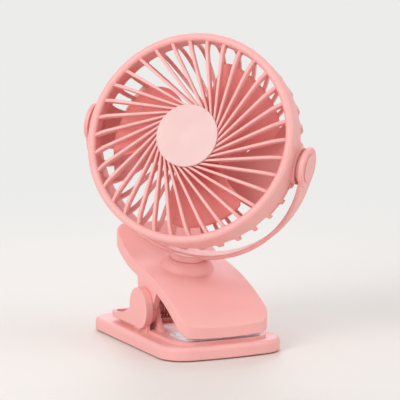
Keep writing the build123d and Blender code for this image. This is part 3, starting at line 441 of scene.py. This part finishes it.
@dataclass(frozen=True)
class Pouch(Finish):
    """Crinkled foil pouch of a flat cell."""

    def dress(self, graph: Graph) -> None:
        """Write the finish's nodes into a graph.

        Args:
            graph: The graph that takes them.
        """
        crinkle = graph.noise(240, 5)
        graph.link(graph.blend(graph.spread(crinkle, 0, 0.5), self.colour, scaled(self.colour, 0.8)),
                   graph.shader.inputs["Base Color"])
        graph.link(graph.bump(crinkle, 0.00012), graph.shader.inputs["Normal"])
        graph.link(graph.spread(crinkle, self.roughness - 0.08, self.roughness + 0.1), graph.shader.inputs["Roughness"])
        graph.shader.inputs["Metallic"].default_value = 0.75


class Paint(Enum):
    """Every finish on the fan."""

    BODY = MouldedPlastic("pink_body", srgb(247, 181, 178), 0.42)
    # Painted shade: a darker, deeper copy of the body pink for the inner pieces and the ring seam, standing in for the
    # shade they sit in.
    INNER_SHADED = MouldedPlastic("pink_inner_painted_shade", srgb(246, 168, 165), 0.46, edge_highlight_tone=1.03)
    CAP = MouldedPlastic("pink_cap", srgb(230, 193, 191), 0.42, waves=0.00002, edge_highlight_tone=1.0)
    # The body's pink plastic, painted darker as painted shade for the blades inside the head.
    BLADES = MouldedPlastic("pink_blades_painted_shade", srgb(240, 152, 149), 0.36, glow=0.2)
    WASHER = MouldedPlastic("pale_washer", srgb(240, 236, 228), 0.5, glow=0.05)
    LENS = MouldedPlastic("milky_lens", srgb(248, 248, 240), 0.2, grain=0.000002, glow=0.5)
    SILICONE = Silicone("milky_silicone", srgb(246, 242, 242), 0.38)
    GRIP = GripRubber("grip_rubber", srgb(176, 116, 114), 0.82)
    STEEL = DrawnSteel("turned_steel", srgb(196, 196, 200), 0.32)
    # Steel painted pink and darker, with reddish patches: a painted reflection of the pink plastic round it, and
    # painted shade.
    SPRING = DrawnSteel("spring_wire_painted_reflection", srgb(188, 134, 132), 0.30, (0.36, 0.17, 0.16))
    MOTOR = DrawnSteel("motor_can", srgb(188, 190, 194), 0.38, (0.45, 0.45, 0.46), (0.03, 0.03, 1))
    PORT = DrawnSteel("port_shell", srgb(208, 208, 210), 0.22)
    BOARD = Laminate("green_board", srgb(30, 92, 56), 0.35)
    CELL = Pouch("cell_pouch", srgb(196, 200, 206), 0.35)


class Palette:
    """Materials made once from the finishes."""

    def __init__(self) -> None:
        """Start with no materials made."""
        self.made: dict[Paint, bpy.types.Material] = {}

    def get(self, paint: Paint) -> bpy.types.Material:
        """Give a finish's material, making it the first time.

        Args:
            paint: The finish.

        Returns:
            Its material.
        """
        if paint not in self.made:
            self.made[paint] = paint.value.build()
        return self.made[paint]

    def coat_node(self, node: str, paint: Paint) -> None:
        """Give a CAD node its finish.

        Args:
            node: The node's name.
            paint: The finish.
        """
        mesh = frame["nodes"][node].data
        mesh.materials.clear()
        mesh.materials.append(self.get(paint))
        log.info("node %s wears %s", node, paint.value.name)


# ---------------------------------------------------------------- mesh work


@dataclass
class MeshDraft:
    """Points and faces gathered in a local frame, then placed in the row's frame."""

    place: Matrix = field(default_factory=lambda: Matrix.Identity(4))
    points: list[Vector] = field(default_factory=list)
    faces: list[tuple[int, ...]] = field(default_factory=list)

    def grid(self, rows: Sequence[Sequence[Vector]], loop_rows: bool = False, loop_columns: bool = False) -> None:
        """Add a sheet of quads through rows of points.

        Args:
            rows: Rows of equal length.
            loop_rows: Join the last row to the first.
            loop_columns: Join the last point of each row to its first.
        """
        start = len(self.points)
        width = len(rows[0])
        for row in rows:
            self.points.extend(Vector(point) for point in row)
        for i in range(len(rows) if loop_rows else len(rows) - 1):
            for j in range(width if loop_columns else width - 1):
                a, b = start + i * width, start + ((i + 1) % len(rows)) * width
                self.faces.append((a + j, a + (j + 1) % width, b + (j + 1) % width, b + j))

    def cap(self, ring: Sequence[int]) -> None:
        """Close a ring of points with one face.

        Args:
            ring: Indices of its points in order.
        """
        self.faces.append(tuple(ring))

    def lathe(self, profile: Profile, segments: int = 96) -> None:
        """Turn a closed outline of (radius, height) about the local Z axis.

        Args:
            profile: The outline's points.
            segments: Steps round the axis.
        """
        rows = []
        for step in range(segments):
            angle = 2 * math.pi * step / segments
            rows.append([Vector((r * math.cos(angle), r * math.sin(angle), z)) for r, z in profile])
        self.grid(rows, loop_rows=True, loop_columns=True)

    def tube(self, path: Sequence[Vector], radius: float, sides: int = 14) -> None:
        """Run a round tube along a path, closed at both ends.

        Args:
            path: Points of its middle line.
            radius: Its radius.
            sides: Sides of its section.
        """
        rows = []
        across = (path[1] - path[0]).orthogonal().normalized()
        for number, spot in enumerate(path):
            run = (path[min(number + 1, len(path) - 1)] - path[max(number - 1, 0)]).normalized()
            across = (across - run * across.dot(run)).normalized()
            other = run.cross(across)
            angles = [2 * math.pi * side / sides for side in range(sides)]
            rows.append([spot + (across * math.cos(a) + other * math.sin(a)) * radius for a in angles])
        start = len(self.points)
        self.grid(rows, loop_columns=True)
        self.cap(range(start + sides - 1, start - 1, -1))
        end = len(self.points) - sides
        self.cap(range(end, end + sides))

    def finish(self, name: str, paint: Paint, palette: Palette, flat_angle: float = 35.0) -> bpy.types.Object:
        """Turn the draft into an object with smooth faces and its finish.

        Args:
            name: The object's name.
            paint: Its finish.
            palette: Where the material comes from.
            flat_angle: Edges sharper than this, in degrees, stay sharp.

        Returns:
            The object.
        """
        mesh = bpy.data.meshes.new(name)
        mesh.from_pydata([self.place @ point for point in self.points], [], self.faces)
        work = bmesh.new()
        work.from_mesh(mesh)
        bmesh.ops.remove_doubles(work, verts=work.verts, dist=1e-7)
        bmesh.ops.recalc_face_normals(work, faces=work.faces)
        work.to_mesh(mesh)
        work.free()
        mesh.shade_smooth()
        mesh.set_sharp_from_angle(angle=math.radians(flat_angle))
        mesh.materials.append(palette.get(paint))
        piece = bpy.data.objects.new(name, mesh)
        bpy.context.scene.collection.objects.link(piece)
        log.info("piece %s: %d faces", name, len(mesh.polygons))
        return piece


def arc_points(centre: tuple[float, float], radius: float, start: float, end: float, steps: int = 6) -> Profile:
    """Points on an arc in the plane.

    Args:
        centre: Its centre.
        radius: Its radius.
        start: First angle in degrees.
        end: Last angle in degrees.
        steps: Steps between them.

    Returns:
        The points, both ends with them.
    """
    angles = [math.radians(start + (end - start) * step / steps) for step in range(steps + 1)]
    return [(centre[0] + radius * math.cos(a), centre[1] + radius * math.sin(a)) for a in angles]


def joint(name: str) -> dict:
    """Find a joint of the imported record.

    Args:
        name: The joint's name.

    Returns:
        Its entry.
    """
    return next(entry for entry in frame["joints"] if entry["name"] == name)


def axis_frame(origin: Sequence[float], across: Sequence[float], forward: Sequence[float]) -> Matrix:
    """Matrix of a local frame whose X runs across and whose Z looks forward.

    Args:
        origin: Its origin.
        across: Its X axis.
        forward: Its Z axis.

    Returns:
        The matrix from local millimetres to the row's metres.
    """
    z = Vector(forward).normalized()
    x = (Vector(across) - z * Vector(across).dot(z)).normalized()
    turn = Matrix((x, z.cross(x), z)).transposed().to_4x4()
    return Matrix.Translation(Vector(origin)) @ turn @ Matrix.Scale(MM, 4)


# ---------------------------------------------------------------- sub-assemblies


@dataclass
class Assembly:
    """A group of pieces that are built and dressed together."""

    palette: Palette
    coats: dict[str, Paint] = field(default_factory=dict)

    def coat(self) -> None:
        """Give the group's CAD nodes their finishes."""
        for node, paint in self.coats.items():
            self.palette.coat_node(node, paint)

    def build(self) -> None:
        """Build the group's own pieces."""


@dataclass
class Spring(Assembly):
    """Two torsion springs round the clip's hinge."""

    pivot_y: float = -3.7
    pivot_z: float = 25.7
    radius: float = 7.7
    wire: float = 0.85
    pitch: float = 2.25
    start: float = 22.4
    lower_slope: float = 5.8
    upper_slope: float = 38.0
    lower_leg: float = 26.0
    upper_leg: float = 21.7
    half_turns: int = 7

    def path(self, side: int) -> list[Vector]:
        """Middle line of one spring.

        Args:
            side: -1 or 1, the side of the clip.

        Returns:
            Points from the lower leg's end to the upper leg's end, in millimetres.
        """
        first = -90 - self.lower_slope
        last = 90 + self.upper_slope - 360 * math.ceil(self.half_turns / 2)
        steps = 34 * self.half_turns
        coil = []
        for step in range(steps + 1):
            share = step / steps
            angle = math.radians(first + (last - first) * share)
            x = side * (self.start - self.pitch * self.half_turns / 2 * share)
            coil.append(Vector((x, self.pivot_y + self.radius * math.cos(angle),
                                self.pivot_z + self.radius * math.sin(angle))))
        lower, upper = math.radians(self.lower_slope), math.radians(self.upper_slope)
        down = Vector((0, math.cos(lower), -math.sin(lower)))
        up = Vector((0, math.cos(upper), math.sin(upper)))
        low_leg = [coil[0] + down * self.lower_leg * (1 - n / 8) for n in range(8)]
        high_leg = [coil[-1] + up * self.upper_leg * (n + 1) / 8 for n in range(8)]
        return low_leg + coil + high_leg

    def build(self) -> None:
        """Build each spring as one unbroken tube, coiled the way that would wind it up as the clip opens."""
        for side, name in ((-1, "left"), (1, "right")):
            draft = MeshDraft(Matrix.Scale(MM, 4))
            draft.tube(self.path(side), self.wire)
            spring = draft.finish(f"spring_wire_{name}", Paint.SPRING, self.palette)
            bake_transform(spring)
            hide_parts("torsion_springs")


@dataclass
class ScrewSet(Assembly):
    """Screws of one node, rebuilt with domed cross-slotted heads where the solids stand."""

    node: str = ""
    body: Body = Body.BASE
    slot_share: float = 0.58

    def islands(self) -> list[np.ndarray]:
        """Split the node's points into its separate screws.

        Returns:
            One array of points for each screw.
        """
        mesh = frame["nodes"][self.node].data
        work = bmesh.new()
        work.from_mesh(mesh)
        bmesh.ops.remove_doubles(work, verts=work.verts, dist=1e-6)
        work.verts.ensure_lookup_table()
        seen: set[int] = set()
        groups = []
        for seed in work.verts:
            if seed.index in seen:
                continue
            stack, group = [seed], []
            seen.add(seed.index)
            while stack:
                vertex = stack.pop()
                group.append(tuple(vertex.co))
                for edge in vertex.link_edges:
                    other = edge.other_vert(vertex)
                    if other.index not in seen:
                        seen.add(other.index)
                        stack.append(other)
            groups.append(np.array(group))
        work.free()
        return groups

    def measure(self, points: np.ndarray) -> tuple[Matrix, float, float, float, float]:
        """Find a screw's place and sizes from its points.

        Args:
            points: Its points in metres.

        Returns:
            Its frame with Z out of the head's top, head radius, head thickness, shank radius and shank length,
            in millimetres.
        """
        middle = (points.max(0) + points.min(0)) / 2
        spread = points - points.mean(0)
        values, vectors = np.linalg.eigh(spread.T @ spread)
        gaps = [abs(values[1] - values[0]), abs(values[2] - values[1])]
        axis = vectors[:, 2] if gaps[1] > gaps[0] else vectors[:, 0]
        heights = (points - middle) @ axis
        offsets = points - middle - np.outer(heights, axis)
        centre = middle + (offsets.max(0) + offsets.min(0)) / 2
        radii = np.linalg.norm(points - centre - np.outer((points - centre) @ axis, axis), axis=1)
        head = radii > radii.max() * 0.97
        if heights[head].mean() < 0:
            axis, heights = -axis, -heights
        top, under = heights[head].max(), heights[head].min()
        shank = np.median(radii[~head & (radii > radii.max() * 0.2)])
        origin = centre + axis * (top - (centre - middle) @ axis)
        place = axis_frame(origin, Vector(axis).orthogonal(), axis)
        return place, radii.max() / MM, (top - under) / MM, shank / MM, (under - heights.min()) / MM

    def build(self) -> None:
        """Build all screws of the node as one piece."""
        draft = MeshDraft()
        for points in self.islands():
            place, head, thick, shank, length = self.measure(points)
            one = MeshDraft()
            slot = head * self.slot_share
            deep = thick * 0.62
            dome = [(head * math.sin(a), -thick * 0.3 * (1 - math.cos(a))) for a in np.linspace(0.5, 1.35, 6)]
            profile = [(slot * 0.98, -0.02 * thick), *dome, (head, -thick * 0.45), (head, -thick),
                       (shank, -thick), (shank, -thick - length + shank * 0.6), (0.01, -thick - length),
                       (0.01, -thick * 0.8), (slot * 0.98, -thick * 0.8)]
            one.lathe(profile, 40)
            self.cross(one, slot, deep)
            offset = len(draft.points)
            draft.points.extend(place @ point for point in one.points)
            draft.faces.extend(tuple(index + offset for index in face) for face in one.faces)
        screws = draft.finish(f"{self.node}_turned", Paint.STEEL, self.palette)
        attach(screws, self.body.value)
        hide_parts(self.node)

    def cross(self, draft: MeshDraft, reach: float, deep: float) -> None:
        """Close a head's middle with a sunk cross for the driver.

        Args:
            draft: The screw's draft.
            reach: Radius of the opening that is closed.
            deep: Depth of the cross.
        """
        steps = 48
        rings = []
        for share, sunk in ((1.0, 0.0), (0.86, 0.0), (0.82, 0.8), (0.5, 1.0), (0.02, 1.0)):
            ring = []
            for step in range(steps):
                angle = 2 * math.pi * step / steps
                arm = max(abs(math.cos(2 * angle)), 0.0) ** 6
                wall = share if share > 0.84 else share * (0.30 + 0.70 * arm)
                radius = reach * wall
                ring.append(Vector((radius * math.cos(angle), radius * math.sin(angle), -deep * sunk)))
            rings.append(ring)
        draft.grid(rings, loop_columns=True)


@dataclass
class Rotor(Assembly):
    """Three-bladed fan on its hollow hub, about the head's own axis."""

    hub_radius: float = 18.0
    hub_wall: float = 1.8
    hub_front: float = 15.6
    hub_back: float = -5.4
    hub_round: float = 2.4
    boss_radius: float = 3.4
    boss_back: float = 1.0
    blade_count: int = 3
    tip_radius: float = 57.0
    root_radius: float = 16.9
    waist_radius: float = 38.0
    root_span: float = 92.0
    tip_span: float = 68.0
    front_waist: float = 31.0
    back_waist: float = 44.0
    middle: float = 3.6
    tip_pitch: float = 12.0
    root_pitch: float = 30.0
    thick: float = 1.7
    corner: float = 11.0
    phase: float = 54.0

    def place(self) -> Matrix:
        """Frame of the head: X along the tilt axis, Z out of the grille."""
        tilt = joint("head_tilt")
        return axis_frame(tilt["pos_m"], tilt["axis"], joint("blade_spin")["axis"])

    def edge_angle(self, radius: float, spans: tuple[float, float, float]) -> float:
        """Angle of a blade's curved edge at a radius.

        Args:
            radius: Distance from the axis.
            spans: Angles at the root, waist and tip.

        Returns:
            The angle in degrees, from a smooth curve through the three.
        """
        radii = (self.root_radius, self.waist_radius, self.tip_radius)
        total = 0.0
        for i in range(3):
            weight = 1.0
            for j in range(3):
                if j != i:
                    weight *= (radius - radii[j]) / (radii[i] - radii[j])
            total += spans[i] * weight
        return total

    def height(self, x: float, y: float) -> float:
        """Height of a blade's middle sheet.

        Args:
            x: Distance along the blade.
            y: Distance across it.

        Returns:
            The height in millimetres.
        """
        share = (x - self.root_radius + 6) / (self.tip_radius + 4 - self.root_radius + 6)
        low = math.tan(math.radians(self.root_pitch))
        high = math.tan(math.radians(self.tip_pitch))
        return self.middle + y * (low + (high - low) * share)

    def sheet(self, upper: bool, rows: int = 40, columns: int = 36) -> list[list[Vector]]:
        """One side of a blade, thinned towards its edges.

        Args:
            upper: True for the side that faces the grille.
            rows: Steps from root to tip.
            columns: Steps across.

        Returns:
            Rows of points.
        """
        sheet = []
        for i in range(rows + 1):
            radius = self.root_radius + (self.tip_radius - self.root_radius) * (i / rows) ** 0.9
            tip = max(0.0, self.corner - (self.tip_radius - radius))
            inset = self.corner - math.sqrt(max(self.corner ** 2 - tip ** 2, 0))
            shrink = math.degrees(inset / radius)
            front = self.edge_angle(radius, (self.root_span / 2, self.front_waist, self.tip_span / 2)) - shrink
            back = -self.edge_angle(radius, (self.root_span / 2, self.back_waist, self.tip_span / 2)) + shrink
            row = []
            for j in range(columns + 1):
                share = (1 - math.cos(math.pi * j / columns)) / 2
                angle = math.radians(back + (front - back) * share)
                x, y = radius * math.cos(angle), radius * math.sin(angle)
                margin = min(share, 1 - share) * math.radians(front - back) * radius
                margin = min(margin, self.tip_radius - radius)
                rounding = math.sqrt(max(0.0, 1 - (1 - min(margin / 1.6, 1)) ** 2))
                half = self.thick / 2 * (0.03 + 0.97 * rounding)
                row.append(Vector((x, y, self.height(x, y) + (half if upper else -half))))
            sheet.append(row)
        return sheet

    def build(self) -> None:
        """Build hub and blades as one moulding."""
        place = self.place()
        draft = MeshDraft(place)
        outer, inner = self.hub_radius, self.hub_radius - self.hub_wall
        front, roof = self.hub_front, self.hub_front - self.hub_wall
        round_ = arc_points((outer - self.hub_round, front - self.hub_round), self.hub_round, 0, 90)
        dimple = arc_points((0, front + 26.0), 26.6, -80, -90, 8)
        profile = [(outer, self.hub_back), *round_, *dimple[:-1], (0.01, front - 0.6), (0.01, roof - 2),
                   (self.boss_radius, roof - 2), (self.boss_radius, self.boss_back),
                   (self.boss_radius + 0.01, self.boss_back), (self.boss_radius + 0.02, roof), (inner, roof),
                   (inner, self.hub_back)]
        draft.lathe(profile)
        for number in range(self.blade_count):
            turn = Matrix.Rotation(math.radians(self.phase + 360 * number / self.blade_count), 4, "Z")
            for upper in (True, False):
                draft.grid([[turn @ point for point in row] for row in self.sheet(upper)])
            self.close_rim(draft, turn)
        rotor = draft.finish("rotor_moulding", Paint.BLADES, self.palette, 50)
        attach(rotor, Body.ROTOR.value)
        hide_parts("fan_blades")

    def close_rim(self, draft: MeshDraft, turn: Matrix) -> None:
        """Join a blade's two sides round their rim.

        Args:
            draft: The rotor's draft.
            turn: The blade's turn about the axis.
        """
        rims = []
        for upper in (True, False):
            sheet = self.sheet(upper)
            rim = [row[0] for row in sheet] + sheet[-1][1:-1] + [row[-1] for row in reversed(sheet)]
            rims.append([turn @ point for point in rim + sheet[0][-2:0:-1]])
        draft.grid(rims, loop_columns=True)


@dataclass
class HeadTrim(Assembly):
    """The thin line where the front ring meets the cage on the fan head."""

    ring_radius: float = 71.05
    ring_height: float = 12.8
    line: float = 0.28

    def build(self) -> None:
        """Build the line where the front ring meets the cage."""
        tilt = joint("head_tilt")
        place = axis_frame(tilt["pos_m"], tilt["axis"], joint("blade_spin")["axis"])
        draft = MeshDraft(place)
        circle = arc_points((self.ring_radius, self.ring_height), self.line, 0, 330, 11)
        draft.lathe(circle, 160)
        seam = draft.finish("ring_seam", Paint.INNER_SHADED, self.palette)
        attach(seam, Body.HEAD.value)


# ---------------------------------------------------------------- studio


@dataclass(frozen=True)
class Lamp:
    """A soft rectangular lamp aimed at the fan."""

    name: str
    direction: tuple[float, float, float]
    distance: float
    size: float
    power: float
    colour: Colour = (1, 1, 1)

    def hang(self, target: Vector) -> None:
        """Put the lamp in the scene.

        Args:
            target: What it is aimed at.
        """
        data = bpy.data.lights.new(self.name, "AREA")
        data.shape = "SQUARE"
        data.size = self.size
        data.energy = self.power
        data.color = self.colour
        lamp = bpy.data.objects.new(self.name, data)
        towards = Vector(self.direction).normalized()
        lamp.location = target + towards * self.distance
        lamp.rotation_euler = towards.to_track_quat("Z", "Y").to_euler()
        bpy.context.scene.collection.objects.link(lamp)
        log.info("lamp %s: %.0f W", self.name, self.power)


@dataclass
class Studio:
    """Pale floor and backdrop, soft lamps, and the camera at the photograph's angle."""

    target: Vector = field(default_factory=lambda: Vector((0, 0, 0.1)))
    floor_colour: Colour = srgb(232, 228, 224)
    backdrop: Colour = srgb(236, 236, 234)
    sky_light: Colour = (1.0, 0.985, 0.97)
    sky_strength: float = 0.67
    floor_near: float = 0.22
    floor_far: float = 0.85
    camera_place: tuple[float, float, float] = (-0.590626, -1.257484, 0.289312)
    camera_right: tuple[float, float, float] = (0.90233, -0.43105, 0.0)
    camera_back: tuple[float, float, float] = (-0.42696, -0.89376, 0.13751)
    lens: float = 186.25
    lamps: tuple[Lamp, ...] = (
        Lamp("key", (-0.86, -0.38, 0.58), 2.2, 1.0, 19.0, (1.0, 0.985, 0.965)),
        Lamp("fill", (0.60, -0.70, 0.45), 2.6, 1.8, 11.5, (1.0, 0.98, 0.97)),
        Lamp("back", (0.35, 0.90, 0.50), 2.4, 1.4, 13.0, (0.92, 0.94, 1.0)),
    )

    def lay_floor(self) -> None:
        """Lay the pale floor that the fan stands on."""
        mesh = bpy.data.meshes.new("studio_floor")
        half = 12.0
        mesh.from_pydata([(-half, -half, 0), (half, -half, 0), (half, half, 0), (-half, half, 0)], [], [(0, 1, 2, 3)])
        graph = Graph("studio_floor")
        tone = graph.blend(graph.spread(graph.noise(9, 2), 0, 1), self.floor_colour, scaled(self.floor_colour, 0.985))
        graph.link(tone, graph.shader.inputs["Base Color"])
        graph.link(graph.spread(graph.noise(300, 2), 0.55, 0.65), graph.shader.inputs["Roughness"])
        self.fade_floor(graph)
        mesh.materials.append(graph.material)
        floor = bpy.data.objects.new("studio_floor", mesh)
        bpy.context.scene.collection.objects.link(floor)

    def fade_floor(self, graph: Graph) -> None:
        """Let the floor run into the backdrop's colour away from the fan, for looks alone.

        Args:
            graph: The floor's graph.
        """
        length = graph.add("ShaderNodeVectorMath", operation="LENGTH")
        graph.link(graph.place, length.inputs[0])
        away = graph.add("ShaderNodeMapRange", interpolation_type="SMOOTHSTEP")
        graph.link(length.outputs["Value"], away.inputs["Value"])
        away.inputs["From Min"].default_value = self.floor_near
        away.inputs["From Max"].default_value = self.floor_far
        path = graph.add("ShaderNodeLightPath")
        looks = graph.add("ShaderNodeMath", operation="MAXIMUM")
        graph.link(path.outputs["Is Camera Ray"], looks.inputs[0])
        graph.link(path.outputs["Is Transmission Ray"], looks.inputs[1])
        share = graph.add("ShaderNodeMath", operation="MULTIPLY")
        graph.link(away.outputs["Result"], share.inputs[0])
        graph.link(looks.outputs[0], share.inputs[1])
        plain = graph.add("ShaderNodeEmission")
        plain.inputs["Color"].default_value = (*self.backdrop, 1)
        mixer = graph.add("ShaderNodeMixShader")
        graph.link(share.outputs[0], mixer.inputs[0])
        graph.link(graph.shader.outputs[0], mixer.inputs[1])
        graph.link(plain.outputs[0], mixer.inputs[2])
        graph.link(mixer.outputs[0], graph.tree.nodes["Material Output"].inputs["Surface"])

    def light_world(self) -> None:
        """Even light from all round, with a pale backdrop for what looks past the fan."""
        world = bpy.data.worlds.new("studio")
        bpy.context.scene.world = world
        world.use_nodes = True
        tree = world.node_tree
        tree.nodes.clear()
        out = tree.nodes.new("ShaderNodeOutputWorld")
        mixer = tree.nodes.new("ShaderNodeMixShader")
        path = tree.nodes.new("ShaderNodeLightPath")
        seen = tree.nodes.new("ShaderNodeMath")
        seen.operation = "MAXIMUM"
        tree.links.new(path.outputs["Is Camera Ray"], seen.inputs[0])
        tree.links.new(path.outputs["Is Glossy Ray"], seen.inputs[1])
        also = tree.nodes.new("ShaderNodeMath")
        also.operation = "MAXIMUM"
        tree.links.new(seen.outputs[0], also.inputs[0])
        tree.links.new(path.outputs["Is Transmission Ray"], also.inputs[1])
        tree.links.new(also.outputs[0], mixer.inputs[0])
        for socket, colour, strength in ((1, self.sky_light, self.sky_strength), (2, self.backdrop, 1.0)):
            shade = tree.nodes.new("ShaderNodeBackground")
            shade.inputs["Color"].default_value = (*colour, 1)
            shade.inputs["Strength"].default_value = strength
            tree.links.new(shade.outputs[0], mixer.inputs[socket])
        tree.links.new(mixer.outputs[0], out.inputs["Surface"])

    def aim_camera(self) -> None:
        """Put the camera where the photograph was taken from."""
        data = bpy.data.cameras.new("camera")
        data.sensor_fit = "HORIZONTAL"
        data.sensor_width = 36.0
        data.lens = self.lens
        data.clip_end = 40
        camera = bpy.data.objects.new("camera", data)
        right = Vector(self.camera_right).normalized()
        back = Vector(self.camera_back).normalized()
        turn = Matrix((right, back.cross(right), back)).transposed().to_4x4()
        camera.matrix_world = Matrix.Translation(Vector(self.camera_place)) @ turn
        bpy.context.scene.collection.objects.link(camera)
        bpy.context.scene.camera = camera

    def build(self) -> None:
        """Set up floor, light and camera."""
        self.lay_floor()
        self.light_world()
        for lamp in self.lamps:
            lamp.hang(self.target)
        self.aim_camera()
        bpy.context.scene.view_settings.view_transform = "Standard"


def main() -> None:
    """Dress the fan and set up its studio."""
    palette = Palette()
    base = {
        "base_shell": Paint.BODY, "base_cover": Paint.INNER_SHADED, "grip_sheet": Paint.GRIP, "base_pad": Paint.SILICONE,
        "hinge_pins": Paint.STEEL, "torsion_springs": Paint.SPRING, "battery": Paint.CELL,
        "control_board": Paint.BOARD, "usb_port": Paint.PORT, "indicator_lens": Paint.LENS,
        "power_button": Paint.BODY, "base_screws": Paint.STEEL,
    }
    jaw = {
        "jaw_shell": Paint.BODY, "jaw_floor": Paint.INNER_SHADED, "jaw_pad": Paint.SILICONE, "floor_screws": Paint.STEEL,
    }
    yoke = {
        "yoke_arm": Paint.BODY, "pivot_caps": Paint.BODY, "swivel_washer": Paint.WASHER, "swivel_screw": Paint.STEEL,
    }
    head = {
        "front_grille": Paint.BODY, "front_cap": Paint.CAP, "rear_grille": Paint.BODY, "motor": Paint.MOTOR,
        "motor_cover": Paint.BODY, "motor_screws": Paint.STEEL, "pivot_screws": Paint.STEEL,
        "pivot_washers": Paint.WASHER,
    }
    rotor = {"fan_blades": Paint.BLADES, "motor_shaft": Paint.STEEL}
    groups: Iterable[Assembly] = (
        Assembly(palette, base),
        Assembly(palette, jaw),
        Assembly(palette, yoke),
        Assembly(palette, head),
        Spring(palette),
        Rotor(palette, rotor),
        HeadTrim(palette),
        ScrewSet(palette, node="base_screws", body=Body.BASE),
        ScrewSet(palette, node="floor_screws", body=Body.UPPER_JAW),
        ScrewSet(palette, node="motor_screws", body=Body.HEAD),
        ScrewSet(palette, node="swivel_screw", body=Body.YOKE),
    )
    for group in groups:
        group.coat()
        group.build()
    Studio().build()


if __name__ == "__main__":
    main()
